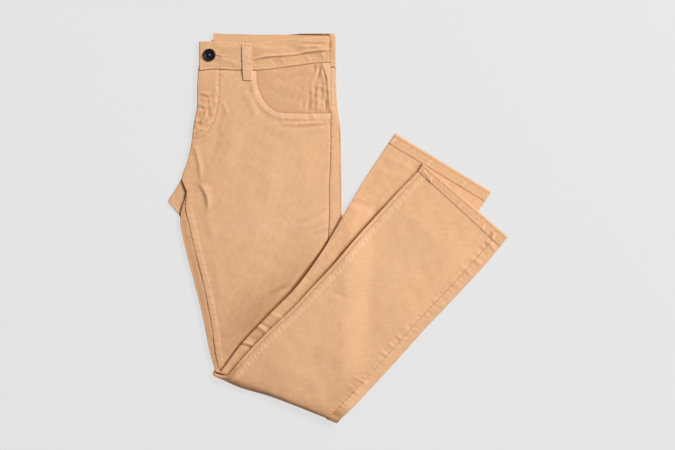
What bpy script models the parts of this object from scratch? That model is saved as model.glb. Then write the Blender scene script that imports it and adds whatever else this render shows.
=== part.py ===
"""Twill trousers, folded in half lengthwise and then up at the knees, lying flat.

Lengths are in millimetres and become metres when a mesh is made. The origin is on the surface
the trousers lie on, under the middle of their outline. +Y runs from the knee fold to the waist,
and +Z is up. The left half of the garment is on top at the thigh, with its front outwards. Each
leg is a flattened tube whose front and back panels meet at the inside-leg and side seams.
"""

from collections import namedtuple

import bmesh
import bpy
import numpy as np

MM = 0.001

# Cloth, and the air between the folded layers
CLOTH = 1.6
SEAM_GAP = 0.3
WAIST_GAP = 0.7
LEG_ROUND = 2.0
LAYER_GAP = 0.8
FOLD_GAP = 0.25

# Heights of the middle of each layer of the stack
HIDDEN_TOP = 2 * LEG_ROUND
THIGH_Z = HIDDEN_TOP + LAYER_GAP + LEG_ROUND
KNEE_Z = THIGH_Z + LEG_ROUND + FOLD_GAP
LEFT_TURN = KNEE_Z - THIGH_Z
CORNER_HELD = 0.35

# How far round the left edge the inside-leg seam lies at the waist, as a share of the way up
INSEAM_AT_WAIST = -4.0
INSEAM_UPPER = (1 + np.cos(INSEAM_AT_WAIST / LEG_ROUND)) / 2
RIGHT_TURN = KNEE_Z - LEG_ROUND

# Waistband, hems and the turned edge of the pocket
BAND_ROUND = 2.4
BAND_CLOTH = 2.1
BAND_Z = HIDDEN_TOP + LAYER_GAP + BAND_ROUND
BAND_END_X = -11.5
BACK_BAND_LEFT_X = -199.5
HEM_CLOTH = 2.0
HEM_RISE = 0.25
EDGE_BAND = 9.5
EDGE_RISE = 0.7

# Button: place, radius, and its profile as radius and height
BUTTON_X, BUTTON_Y = -205.1, 275.8
BUTTON_R = 10.0
BUTTON_STEPS = 28
Turn = namedtuple("Turn", "radius height")
BUTTON_PROFILE = (
    Turn(0.0, 0.0),
    Turn(3.4, 0.0),
    Turn(3.4, 0.8),
    Turn(9.2, 0.8),
    Turn(BUTTON_R, 1.4),
    Turn(BUTTON_R, 2.2),
    Turn(9.3, 3.0),
    Turn(8.0, 3.3),
    Turn(7.0, 3.0),
    Turn(6.2, 2.5),
    Turn(2.2, 2.4),
    Turn(1.6, 2.8),
    Turn(0.0, 2.9),
)

# Belt loop: rows up it, with the height of its under side
LOOP_CLOTH, LOOP_EDGE_DROP = 1.5, 0.4
LoopRow = namedtuple("LoopRow", "y left right under")
LOOP = (
    LoopRow(235.3, -151.5, -137.1, 9.8),
    LoopRow(244.0, -151.8, -137.3, 9.8),
    LoopRow(250.0, -152.1, -137.5, 9.9),
    LoopRow(258.0, -152.4, -137.7, 10.3),
    LoopRow(276.0, -153.2, -138.1, 10.4),
    LoopRow(287.0, -153.6, -138.3, 10.1),
    LoopRow(293.7, -153.9, -138.4, 9.9),
)

# How far down the leg the curve of the waist seam dies out
WAIST_EASE = 60.0

# Pocket mouth: a straight drop from the waist, a quarter ellipse, then a straight run to the side
MOUTH_X, MOUTH_Y = -130.1, 183.0
MOUTH_ROUND_X, MOUTH_ROUND_Y = 46.0, 61.0
MOUTH_TOP, MOUTH_SAG = 275.0, 0.6
MOUTH_TURNS = 12
SIDE_SEAM_IN = 12.4
EDGE_SINK, CUT_HEIGHT = 0.6, 4.0
FACING_Z, FACING_CLOTH = 7.0, 1.0
WRINKLE_HEIGHT, WRINKLE_LENGTH = 0.35, 9.0

Section = namedtuple("Section", "left_x left_y right_x right_y inseam_in outseam_in")
Edge = namedtuple("Edge", "left_x left_y right_x right_y")
Band = namedtuple("Band", "x bottom top")
Fold = namedtuple("Fold", "x0 y0 x1 y1 half_width height")

# Left thigh from the waist seam to the knee. The seams are measured in from the leg's two edges;
# at the torso the front wraps the left edge, so its inner edge is past it.
THIGH = (
    Section(-223.8, 251.8, -2.4, 256.6, -4.0, 8.8),
    Section(-225.3, 219.8, -1.9, 223.0, -4.0, 9.1),
    Section(-225.1, 195.8, -0.6, 197.4, -4.0, 10.4),
    Section(-230.9, 164.7, 4.0, 163.8, -4.0, 15.2),
    Section(-235.0, 131.8, 5.3, 128.6, -4.0, 16.5),
    Section(-241.9, 102.3, 5.8, 95.0, -4.0, 18.0),
    Section(-249.9, 78.2, 6.1, 66.2, -4.0, 19.8),
    Section(-242.7, 55.8, 6.4, 39.0, 0.0, 20.0),
    Section(-250.1, 29.4, 7.0, 8.6, 6.6, 20.8),
    Section(-252.3, 8.6, 6.6, -20.2, 13.8, 22.0),
    Section(-247.2, -20.2, 5.8, -55.4, 15.4, 22.0),
    Section(-228.4, -93.8, 3.4, -135.4, 15.2, 21.0),
    Section(-215.6, -146.6, 1.3, -199.4, 13.0, 20.0),
    Section(-203.0, -207.4, -1.4, -273.0, 9.6, 19.0),
    Section(-197.0, -226.2, 1.4, -304.6, 8.0, 18.0),
)

# Right shin, on top, from the knee to its hem seam; the last row is the hem's edge
RIGHT_SHIN = (
    Section(-174.0, -234.3, 4.1, -306.9, 6.0, 17.5),
    Section(-148.6, -204.2, 28.4, -284.1, 6.0, 17.5),
    Section(-111.2, -165.5, 59.8, -251.5, 6.0, 17.5),
    Section(-74.4, -130.8, 89.2, -219.9, 6.0, 17.5),
    Section(-39.7, -94.0, 118.0, -187.8, 6.0, 17.5),
    Section(-7.0, -59.3, 145.1, -157.7, 6.0, 17.5),
    Section(26.4, -20.2, 175.2, -126.5, 6.0, 17.5),
    Section(61.3, 18.5, 205.4, -94.1, 6.0, 17.5),
    Section(104.5, 65.4, 241.9, -54.2, 6.0, 17.5),
    Section(128.2, 89.5, 260.3, -31.8, 6.0, 17.5),
)
RIGHT_HEM_EDGE = Section(136.0, 102.4, 273.4, -14.9, 6.0, 17.5)

# Left shin, under the right one, with its back upwards
LEFT_SHIN = (
    Section(-186.3, -229.6, -1.2, -302.0, 8.0, 18.0),
    Section(-156.0, -188.9, 25.1, -263.7, 8.0, 18.0),
    Section(-105.1, -134.8, 63.9, -207.3, 9.0, 18.0),
    Section(-74.4, -104.2, 86.5, -174.5, 10.0, 18.0),
    Section(-25.4, -39.0, 128.8, -112.9, 11.0, 18.0),
    Section(8.0, 17.5, 163.1, -63.0, 12.0, 18.0),
    Section(38.1, 69.0, 194.2, -17.9, 13.0, 18.0),
    Section(81.0, 134.6, 236.1, 40.6, 14.0, 18.0),
)
LEFT_HEM_EDGE = Section(92.3, 151.0, 246.2, 57.6, 14.0, 18.0)

# Right half of the garment, underneath, from its waistband to the knee, with the crotch's tip
HIDDEN = (
    Edge(-219.8, 296.6, -4.6, 310.9),
    Edge(-221.4, 275.0, -4.4, 284.0),
    Edge(-223.0, 251.8, -4.0, 257.0),
    Edge(-224.3, 219.8, -3.4, 223.0),
    Edge(-224.1, 195.8, -2.1, 197.4),
    Edge(-229.9, 164.7, 2.5, 163.8),
    Edge(-234.0, 131.8, 3.8, 128.6),
    Edge(-241.0, 102.3, 4.3, 95.0),
    Edge(-252.5, 75.0, 4.6, 66.2),
    Edge(-264.5, 55.0, 4.8, 49.0),
    Edge(-271.8, 42.2, 5.0, 36.0),
    Edge(-264.2, 31.0, 5.2, 22.0),
    Edge(-252.4, 14.5, 5.4, 4.0),
    Edge(-247.0, -20.2, 4.3, -55.4),
    Edge(-228.2, -93.8, 1.9, -135.4),
    Edge(-215.4, -146.6, -0.2, -199.4),
    Edge(-202.8, -207.4, -2.4, -273.0),
    Edge(-197.0, -226.2, 1.2, -304.5),
)

# The waistband's long edges: front run, then back run, whose inner face shows above the front
FRONT_BAND = (
    Band(-222.0, 251.0, 297.6),
    Band(-202.7, 253.2, 298.2),
    Band(-169.1, 252.1, 296.5),
    Band(-130.7, 251.5, 295.2),
    Band(-95.5, 255.0, 300.6),
    Band(-68.3, 258.6, 302.6),
    Band(-41.1, 262.6, 304.4),
    Band(-11.5, 264.2, 304.6),
)
# The back run where it comes round the right edge to the side seam
SIDE_BAND = (
    Band(-11.5, 256.6, 306.6),
    Band(-2.6, 257.2, 306.9),
)
BACK_BAND = (
    Band(-222.0, 262.0, 311.0),
    Band(-199.5, 264.0, 311.4),
    Band(-180.0, 264.0, 310.0),
    Band(-156.0, 263.0, 309.8),
    Band(-131.0, 262.2, 308.8),
    Band(-100.0, 261.6, 308.9),
    Band(-60.0, 260.2, 307.8),
    Band(-25.0, 258.4, 307.0),
    Band(-2.6, 257.2, 306.9),
)
# The top edge of the right half's band, which steps down left of the back band's end
HIDDEN_BAND_TOP = (
    (-220.0, 295.6),
    (-202.0, 296.4),
    (-197.0, 303.6),
    (-156.0, 304.0),
    (-100.0, 308.0),
    (-60.0, 310.8),
    (-4.6, 310.9),
)

HIDDEN_BAND_FOOT, HIDDEN_BAND_HEAD = 262.0, 296.0
# The right half's rim: how far the groove between its two layers goes in
RIM_GROOVE = 1.1

# The largest folds that show on the left front
FOLDS = (
    Fold(-230.0, 128.0, -221.0, 82.0, 9.0, 0.9),
    Fold(-219.0, 68.0, -207.0, 34.0, 9.0, 1.1),
    Fold(-62.0, 2.0, -19.0, 24.0, 10.0, 0.9),
    Fold(-196.0, 95.0, -236.0, 70.0, 8.0, 0.6),
)
# The fly facing's J: half an ellipse whose corner is where the curve starts on the left edge
FLY_X, FLY_BOTTOM, FLY_CURVE, FLY_RISE = -189.5, 144.0, 60.0, 0.45

# Grid sizes: columns on each stretch of a leg's skin, and rows down it
FRONT_COLUMNS = (4, 21)
BACK_COLUMNS = (2, 4, 12, 4, 2)
THIGH_ROWS, SHIN_ROWS, RIGHT_FOLD_ROWS, LEFT_FOLD_ROWS, BAND_ROWS = 29, 18, 7, 5, 4
HEM_COLUMNS = (10, 5, 10, 5)

# The thigh's edge holds the shins up; past it they come down to the surface
DRAPE_START, DRAPE_END = 3.0, 55.0
CROSS_START, CROSS_END, CROSS_LEAN = 2.0, 32.0, 0.826
KNEE_BULGE, BULGE_AT, BULGE_SPREAD = 5.8, 0.21, 0.2

UP = np.array([0.0, 0.0, 1.0])

Rows = namedtuple("Rows", "left right up inseam_in outseam_in")


def through(known, values, at):
    """Cubic curve through the known values, each span a Hermite blend of ends and slopes."""
    known, values, at = (np.asarray(a, float) for a in (known, values, at))
    slope = np.gradient(values, known, axis=0)
    span = np.clip(np.searchsorted(known, at, side="right") - 1, 0, len(known) - 2)
    step = known[span + 1] - known[span]
    t = np.clip((at - known[span]) / step, 0.0, 1.0)
    if values.ndim == 2:
        step, t = step[:, None], t[:, None]
    return (
        (2 * t**3 - 3 * t**2 + 1) * values[span]
        + (t**3 - 2 * t**2 + t) * step * slope[span]
        + (3 * t**2 - 2 * t**3) * values[span + 1]
        + (t**3 - t**2) * step * slope[span + 1]
    )


def smooth_table(table, count):
    """The table's rows, smoothed, at even distances down its middle line, as one array."""
    known = np.array(table, float)
    middle = (known[:, 0:2] + known[:, 2:4]) / 2
    down = np.concatenate([[0], np.cumsum(np.linalg.norm(np.diff(middle, axis=0), axis=1))])
    return through(down, known, np.linspace(0, down[-1], count))


def ease(value, start, end):
    """0 before start, 1 after end, and a smooth step between them."""
    t = np.clip((value - start) / (end - start), 0.0, 1.0)
    return t * t * (3 - 2 * t)


def level_rows(sections, z, up):
    """Rows that lie level at height z, with the front panel on the side that up points to."""
    flat = np.full((len(sections), 1), z)
    return Rows(
        np.hstack([sections[:, 0:2], flat]),
        np.hstack([sections[:, 2:4], flat]),
        np.tile(up, (len(sections), 1)),
        sections[:, 4:5],
        sections[:, 5:6],
    )


AXIS = THIGH[-1]
AXIS_LEFT = np.array([AXIS.left_x, AXIS.left_y, KNEE_Z])
AXIS_RIGHT = np.array([AXIS.right_x, AXIS.right_y, KNEE_Z])
ALONG = (AXIS_RIGHT - AXIS_LEFT) / np.linalg.norm(AXIS_RIGHT - AXIS_LEFT)
OUTWARD = np.array([ALONG[1], -ALONG[0], 0.0])


def fold_rows(shin_top, turn, front_side, count):
    """Rows round the knee fold, from the thigh under it to the shin on it.

    The middle of the leg's thickness runs on half a circle of radius turn about the fold's axis.
    Its ends stay at the thigh's corners for the first part of the turn, then move to the shin's.
    front_side is 1 where the front panel is on the outside of the fold and -1 where it is inside.
    """
    angle = np.linspace(np.pi, 0, count, endpoint=False)[:, None]
    done = (np.pi - angle) / np.pi
    aside = ease(done, CORNER_HELD, 1.0)
    radial = np.sin(angle) * OUTWARD + np.cos(angle) * UP
    start = np.array([shin_top.left_x, shin_top.left_y, KNEE_Z])
    stop = np.array([shin_top.right_x, shin_top.right_y, KNEE_Z])
    return Rows(
        AXIS_LEFT + aside * (start - AXIS_LEFT) + turn * radial,
        AXIS_RIGHT + aside * (stop - AXIS_RIGHT) + turn * radial,
        front_side * radial,
        AXIS.inseam_in + done * (shin_top.inseam_in - AXIS.inseam_in),
        AXIS.outseam_in + done * (shin_top.outseam_in - AXIS.outseam_in),
    )


def joined(first, second):
    return Rows(*(np.vstack(pair) for pair in zip(first, second)))


def skin(rows, run, radius, cloth):
    """Outer and inner points of a flattened tube, and the way that each outer point faces.

    run is the distance along the skin from the left end of the flat on the front's side: the
    front flat, half a circle at the right edge, the back flat, half a circle at the left edge.
    """
    across = rows.right - rows.left
    width = np.linalg.norm(across, axis=1, keepdims=True)
    along = (across / width)[:, None, :]
    flat = width - 2 * radius
    half_turn = np.pi * radius
    whole = 2 * (flat + half_turn)
    angle = (
        np.clip((run - flat) / radius, 0, np.pi)
        + np.clip((run - 2 * flat - half_turn) / radius, 0, np.pi)
        + np.clip(run / radius, -np.pi, 0)
    )
    place = (
        radius
        + np.clip(run, 0, flat)
        - np.clip(run - flat - half_turn, 0, flat)
        + np.clip(run - whole, 0, flat)
    )
    faces = np.cos(angle)[:, :, None] * rows.up[:, None, :] + np.sin(angle)[:, :, None] * along
    middle = rows.left[:, None, :] + place[:, :, None] * along
    return middle + radius * faces, middle + (radius - cloth) * faces, faces


def stretches(breaks, counts):
    """Columns that divide each stretch between two breaks evenly, a row at a time."""
    columns = [breaks[0]]
    for start, stop, count in zip(breaks, breaks[1:], counts):
        columns += [start + (stop - start) * k / count for k in range(1, count + 1)]
    return np.hstack(columns)


def flat_width(rows, radius):
    return np.linalg.norm(rows.right - rows.left, axis=1, keepdims=True) - 2 * radius


def front_run(rows, radius):
    """Where the front panel's columns lie: from the inside-leg seam to the side seam."""
    start = rows.inseam_in - radius * (rows.inseam_in > 0) + SEAM_GAP / 2
    stop = flat_width(rows, radius) + radius - rows.outseam_in - SEAM_GAP / 2
    return stretches((start, np.maximum(0.0, start + 3.0), stop), FRONT_COLUMNS)


def back_run(rows, radius):
    """Where the back panel's columns lie: from the side seam, round both edges, to the inseam."""
    flat = flat_width(rows, radius)
    half_turn = np.pi * radius
    start = flat + radius - rows.outseam_in + SEAM_GAP / 2
    stop = 2 * (flat + half_turn) + rows.inseam_in - radius * (rows.inseam_in > 0) - SEAM_GAP / 2
    left_turn = 2 * flat + half_turn
    round_left = left_turn + np.minimum(half_turn, 0.7 * (stop - left_turn))
    return stretches((start, flat, flat + half_turn, left_turn, round_left, stop), BACK_COLUMNS)


def edge_x(sections, y, side):
    """The x of a leg's left or right edge at height y up the picture."""
    known = np.array(sections)
    order = np.argsort(known[:, 1 + side])
    return np.interp(y, known[order, 1 + side], known[order, side])


RIGHT_SIDE = 2


def draped(points, crosses):
    """Lets a shin down where nothing holds it: off the thigh, and for the right shin (crosses)
    also off the left shin. The drop follows how far each point is past the edge that held it."""
    past_thigh = points[..., 0] - edge_x(THIGH, points[..., 1], RIGHT_SIDE)
    drop = (THIGH_Z + LEG_ROUND + 2 * FOLD_GAP) * ease(past_thigh, DRAPE_START, DRAPE_END)
    if crosses:
        left_shin = LEFT_SHIN + (LEFT_HEM_EDGE,)
        past_shin = CROSS_LEAN * (points[..., 0] - edge_x(left_shin, points[..., 1], RIGHT_SIDE))
        drop = drop + (2 * LEG_ROUND + LAYER_GAP) * ease(past_shin, CROSS_START, CROSS_END)
    lowered = points.copy()
    lowered[..., 2] -= drop
    return lowered


def bulged(points):
    """Pushes the knee fold outwards near its left end, most at the middle of its height."""
    from_left = (points - AXIS_LEFT) @ ALONG / np.linalg.norm(AXIS_RIGHT - AXIS_LEFT)
    out = np.clip((points - AXIS_LEFT) @ OUTWARD, 0, None) / (RIGHT_TURN + LEG_ROUND)
    push = KNEE_BULGE * np.exp(-(((from_left - BULGE_AT) / BULGE_SPREAD) ** 2)) * np.minimum(out, 1)
    return points + push[..., None] * OUTWARD


def band_edges(band, x):
    """The lower and the upper edge of a run of the band at x."""
    known = np.array(band)
    low = through(known[:, 0], known[:, 1], x.ravel()).reshape(x.shape)
    high = through(known[:, 0], known[:, 2], x.ravel()).reshape(x.shape)
    return low, high


def run_edges(x, faces, is_front):
    """Both edges of the front run, or of the back's, which rise to the front at both seams."""
    if is_front:
        return band_edges(FRONT_BAND, x)
    at_left = x < BACK_BAND_LEFT_X
    upper = (1 + faces[..., 2]) / 2
    upper = np.where(at_left, np.minimum(upper / INSEAM_UPPER, 1.0), upper)
    edges = zip(band_edges(FRONT_BAND, x), band_edges(SIDE_BAND, x), band_edges(BACK_BAND, x))
    return [upper * np.where(at_left, front, side) + (1 - upper) * back for front, side, back in edges]


def to_waist_seam(points, faces, is_front):
    """Bends a thigh panel's top to the lower edge of its own run of the waistband."""
    top = THIGH[0]
    x, y = points[..., 0], points[..., 1]
    slope = (top.right_y - top.left_y) / (top.right_x - top.left_x)
    straight = top.left_y + (x - top.left_x) * slope
    rise = run_edges(x, faces, is_front)[0] - straight - WAIST_GAP
    bent = points.copy()
    bent[..., 1] += rise * ease(y, top.left_y - WAIST_EASE, top.left_y)
    return bent


def relief(x, y):
    """Height of the folds and of the fly facing's edge above the plain front."""
    height = np.zeros_like(x)
    for fold in FOLDS:
        run = np.array([fold.x1 - fold.x0, fold.y1 - fold.y0])
        length = np.linalg.norm(run)
        run = run / length
        forward = (x - fold.x0) * run[0] + (y - fold.y0) * run[1]
        aside = np.abs((x - fold.x0) * run[1] - (y - fold.y0) * run[0])
        ends = ease(forward, -12, 10) * ease(length - forward, -12, 10)
        height += fold.height * ends * (1 - ease(aside, 0, fold.half_width))
    level = np.clip((FLY_BOTTOM + FLY_CURVE - y) / FLY_CURVE, 0, 1)
    fly_edge = FLY_X - (FLY_X + 225) * (1 - np.sqrt(np.clip(1 - level**2, 0, 1)))
    height += FLY_RISE * ease(fly_edge - x, -3, 3) * (y > FLY_BOTTOM - 5)
    return height


def material(name, colour, roughness, metallic=0.0):
    made = bpy.data.materials.new(name)
    made.use_nodes = True
    shader = made.node_tree.nodes["Principled BSDF"]
    shader.inputs["Base Color"].default_value = (*colour, 1)
    shader.inputs["Roughness"].default_value = roughness
    shader.inputs["Metallic"].default_value = metallic
    made.diffuse_color = (*colour, 1)
    return made


def add_object(name, bm, finish, parent, place=(0, 0, 0)):
    """Makes a closed mesh's faces point outwards and puts it in the scene."""
    bmesh.ops.recalc_face_normals(bm, faces=bm.faces)
    mesh = bpy.data.meshes.new(name)
    bm.to_mesh(mesh)
    bm.free()
    mesh.shade_smooth()
    mesh.set_sharp_from_angle(angle=np.radians(40))
    mesh.materials.append(finish)
    made = bpy.data.objects.new(name, mesh)
    made.location = place
    made.parent = parent
    bpy.context.collection.objects.link(made)
    return made


def grid_faces(bm, grid):
    for upper, lower in zip(grid, grid[1:]):
        for a, b, c, d in zip(upper, upper[1:], lower[1:], lower):
            bm.faces.new((a, b, c, d))


def wall_mesh(outer, inner, closed=False):
    """A solid wall between two grids of points, as an open sheet or, closed, as a ring."""
    bm = bmesh.new()
    skins = []
    for grid in (outer, inner):
        skins.append([[bm.verts.new(point * MM) for point in row] for row in grid])
    if closed:
        skins = [[row + row[:1] for row in grid] for grid in skins]
    grid_faces(bm, skins[0])
    grid_faces(bm, skins[1])
    for end in (0, -1):
        grid_faces(bm, [skins[0][end], skins[1][end]])
        if not closed:
            grid_faces(bm, [[row[end] for row in grid] for grid in skins])
    return bm


def loft_mesh(loops):
    """A solid through closed loops of points, with a flat face over each end."""
    bm = bmesh.new()
    rings = [[bm.verts.new(point * MM) for point in loop] for loop in loops]
    grid_faces(bm, [ring + ring[:1] for ring in rings])
    bm.faces.new(rings[0])
    bm.faces.new(rings[-1])
    return bm


def prism_mesh(outline, low, high):
    """An upright prism on a closed outline of x and y."""
    bm = bmesh.new()
    bottom = [bm.verts.new((x * MM, y * MM, low * MM)) for x, y in outline]
    face = bm.faces.new(bottom)
    raised = bmesh.ops.extrude_face_region(bm, geom=[face])["geom"]
    moved = [item for item in raised if isinstance(item, bmesh.types.BMVert)]
    bmesh.ops.translate(bm, verts=moved, vec=(0, 0, (high - low) * MM))
    return bm


def mouth_path(outset):
    """Points down the pocket mouth from the waist to the side, moved out from it by outset."""
    centre_x, centre_y = MOUTH_X + MOUTH_ROUND_X, MOUTH_Y + MOUTH_ROUND_Y
    angle = np.linspace(0, np.pi / 2, MOUTH_TURNS)
    curve_x = centre_x - (MOUTH_ROUND_X + outset) * np.cos(angle)
    curve_y = centre_y - (MOUTH_ROUND_Y + outset) * np.sin(angle)
    start = [(MOUTH_X - outset, MOUTH_TOP)]
    level = MOUTH_Y - outset
    stop = [(-60.0, level - MOUTH_SAG), (-36.0, level - MOUTH_SAG), (-8.0, level + MOUTH_SAG)]
    return np.array(start + list(zip(curve_x, curve_y)) + stop)


# Rows of each leg: the left thigh, then each leg from the knee fold to its hem seam
thigh_sections = smooth_table(THIGH, THIGH_ROWS)
thigh_sections[-1, 0:2] -= SEAM_GAP * OUTWARD[0:2]
thigh_sections[-1, 2:4] -= SEAM_GAP * OUTWARD[0:2]
thigh = level_rows(thigh_sections, THIGH_Z, UP)
left_leg = joined(
    fold_rows(LEFT_SHIN[0], LEFT_TURN, -1, LEFT_FOLD_ROWS),
    level_rows(smooth_table(LEFT_SHIN, SHIN_ROWS), KNEE_Z + LEFT_TURN, -UP),
)
right_leg = joined(
    fold_rows(RIGHT_SHIN[0], RIGHT_TURN, 1, RIGHT_FOLD_ROWS),
    level_rows(smooth_table(RIGHT_SHIN, SHIN_ROWS), KNEE_Z + RIGHT_TURN, UP),
)

for old in list(bpy.data.objects):
    bpy.data.objects.remove(old)

twill = material("twill", (0.79, 0.456, 0.235), 0.88)
black_metal = material("button_metal", (0.012, 0.010, 0.012), 0.32, 0.7)

trousers = bpy.data.objects.new("trousers", None)
bpy.context.collection.objects.link(trousers)


def thigh_panel(name, run, is_front):
    """A thigh panel from the waist seam to the knee; the front one carries the largest folds."""
    outer, inner, faces = skin(thigh, run, LEG_ROUND, CLOTH)
    if is_front:
        up = np.clip(faces[..., 2], 0, 1) ** 2
        outer[..., 2] += up * relief(outer[..., 0], outer[..., 1])
    outer = to_waist_seam(outer, faces, is_front)
    inner = to_waist_seam(inner, faces, is_front)
    return add_object(name, wall_mesh(outer, inner), twill, trousers)


def shin_panel(name, rows, run, crosses):
    """A panel from the knee fold to the hem; crosses says that it lies on the other shin."""
    outer, inner, _ = skin(rows, run, LEG_ROUND, CLOTH)
    if crosses:
        outer, inner = bulged(outer), bulged(inner)
    outer, inner = draped(outer, crosses), draped(inner, crosses)
    return add_object(name, wall_mesh(outer, inner), twill, trousers)


def hem(name, seam, edge, z, up, crosses):
    """The turned-up end of a leg: a ring of thicker cloth, standing proud only on top."""
    sections = np.array([seam, edge])
    down = sections[1, 0:4] - sections[0, 0:4]
    sections[0, 0:4] += SEAM_GAP * down / np.linalg.norm(down[0:2])
    sections = smooth_table(sections, 3)
    rows = level_rows(sections, z + HEM_RISE, up)
    radius = LEG_ROUND + HEM_RISE
    flat = flat_width(rows, radius)
    half_turn = np.pi * radius
    breaks = (0 * flat, flat, flat + half_turn, 2 * flat + half_turn, 2 * (flat + half_turn))
    run = stretches(breaks, HEM_COLUMNS)[:, :-1]
    outer, inner, _ = skin(rows, run, radius, HEM_CLOTH)
    outer, inner = draped(outer, crosses), draped(inner, crosses)
    return add_object(name, wall_mesh(outer, inner, closed=True), twill, trousers)


def band(name, left_x, run_of, is_front):
    """A run of the waistband: the same flattened tube, its rows going up the band."""
    section = Section(left_x, 0.0, SIDE_BAND[-1].x, 0.0, THIGH[0].inseam_in, 0.0)
    rows = level_rows(np.array([section] * BAND_ROWS), BAND_Z, UP)
    outer, inner, faces = skin(rows, run_of(rows), BAND_ROUND, BAND_CLOTH)
    up_band = np.linspace(0, 1, BAND_ROWS)[:, None]
    for points in (outer, inner):
        low, high = run_edges(points[..., 0], faces, is_front)
        points[..., 1] = low + up_band * (high - low)
    return add_object(name, wall_mesh(outer, inner), twill, trousers)


def front_band_run(rows):
    stop = BAND_END_X - rows.left[:, 0:1] - BAND_ROUND - SEAM_GAP / 2
    return stretches((rows.inseam_in, 0 * stop, stop), (4, 24))


def back_band_run(rows):
    flat = flat_width(rows, BAND_ROUND)
    start = BAND_END_X - rows.left[:, 0:1] - BAND_ROUND + SEAM_GAP / 2
    right_turn = flat + np.pi * BAND_ROUND
    stop = right_turn + (rows.right[:, 0:1] - BAND_ROUND - BACK_BAND_LEFT_X)
    return stretches((start, flat, right_turn, stop), (2, 5, 22))


def hidden_loops():
    """Sections of the right half under the left: flat below, two layers showing at each edge."""
    known = np.array(HIDDEN)
    number = np.arange(len(known))
    table = through(number, known, np.linspace(0, number[-1], 2 * len(known) - 1))
    top = np.array(HIDDEN_BAND_TOP)
    half = HIDDEN_TOP / 2
    lobe = [(0.55, 0.0), (0.0, 0.45), (0.0, half - 0.5), (RIM_GROOVE, half - 0.15)]
    rim = lobe + [(inset, HIDDEN_TOP - z) for inset, z in reversed(lobe)]
    fractions = np.linspace(0, 1, 9)[1:-1]
    loops = []
    for left_x, left_y, right_x, right_y in table:
        left, right = np.array([left_x, left_y]), np.array([right_x, right_y])
        width = np.linalg.norm(right - left)
        along = (right - left) / width
        bottom = [(f * width, 0.0) for f in fractions]
        profile = [(width - inset, z) for inset, z in rim]
        profile += [(f * width, HIDDEN_TOP) for f in reversed(fractions)]
        profile += [(inset, z) for inset, z in reversed(rim)]
        points = [np.array([*(left + place * along), z]) for place, z in bottom + profile]
        loops.append(np.array(points))
    loops = np.array(loops)
    first = HIDDEN[0]
    slope = (first.right_y - first.left_y) / (first.right_x - first.left_x)
    straight = first.left_y + (loops[0, :, 0] - first.left_x) * slope
    rise = np.interp(loops[..., 0], top[:, 0], top[:, 1]) - straight[None, :]
    loops[..., 1] += rise * ease(loops[..., 1], HIDDEN_BAND_FOOT, HIDDEN_BAND_HEAD)
    loops[-1, :, 0:2] -= SEAM_GAP * OUTWARD[0:2]
    return loops


# Left leg's thigh. The front is cut away at the pocket mouth, and the mouth's turned edge is
# a second layer on it, so its band stands proud.
front_left = thigh_panel("front_left", front_run(thigh, LEG_ROUND), True)
thigh_panel("back_left", back_run(thigh, LEG_ROUND), False)

inner_edge, outer_edge = mouth_path(-1.0), mouth_path(EDGE_BAND)
front_top = THIGH_Z + LEG_ROUND
waist_cut = band_edges(FRONT_BAND, np.array([MOUTH_X, MOUTH_X - EDGE_BAND]))[0] - SEAM_GAP
side_cut = THIGH[2].right_x - SIDE_SEAM_IN
inner_edge[0, 1], outer_edge[0, 1] = waist_cut
inner_edge[-1, 0] = outer_edge[-1, 0] = side_cut
strip = np.concatenate([inner_edge, outer_edge[::-1]])
strip_mesh = prism_mesh(strip, front_top - EDGE_SINK, front_top + EDGE_RISE)
edge_band = add_object("pocket_edge_layer", strip_mesh, twill, trousers)
mouth = np.concatenate([mouth_path(0.0), [(20.0, MOUTH_Y), (20.0, MOUTH_TOP)]])
mouth_mesh = prism_mesh(mouth, front_top - CLOTH - SEAM_GAP, front_top + CUT_HEIGHT)
cutter = add_object("pocket_mouth_cut", mouth_mesh, twill, trousers)
for tool, operation in ((edge_band, "UNION"), (cutter, "DIFFERENCE")):
    tool.hide_render = True
    tool.display_type = "WIRE"
    step = front_left.modifiers.new(tool.name, "BOOLEAN")
    step.object = tool
    step.operation = operation

# Pocket facing, behind the mouth: columns across it, each from the mouth up to the waist seam
angle = np.linspace(0.12, np.pi / 2, 9)
round_x = MOUTH_X + MOUTH_ROUND_X - (MOUTH_ROUND_X - SEAM_GAP) * np.cos(angle)
round_y = MOUTH_Y + MOUTH_ROUND_Y - (MOUTH_ROUND_Y - SEAM_GAP) * np.sin(angle)
flat_x = np.linspace(round_x[-1], side_cut - 0.2, 8)[1:]
facing_x = np.concatenate([round_x, flat_x])
facing_low = np.concatenate([round_y, np.full(len(flat_x), MOUTH_Y + SEAM_GAP + 1.0)])
facing_high = band_edges(FRONT_BAND, facing_x)[0] - SEAM_GAP
share = np.linspace(0, 1, 7)[:, None]
facing_y = facing_low + share * (facing_high - facing_low)
facing_wide = np.broadcast_to(facing_x, facing_y.shape)
facing_grid = np.stack([facing_wide, facing_y, np.full(facing_y.shape, FACING_Z)], axis=-1)
facing_top = facing_grid + UP * FACING_CLOTH
slant = np.sin((facing_wide + 0.6 * facing_y) / WRINKLE_LENGTH)
facing_top[..., 2] += WRINKLE_HEIGHT * slant * np.sin(np.pi * share)
add_object("pocket_facing", wall_mesh(facing_top, facing_grid), twill, trousers)

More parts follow.
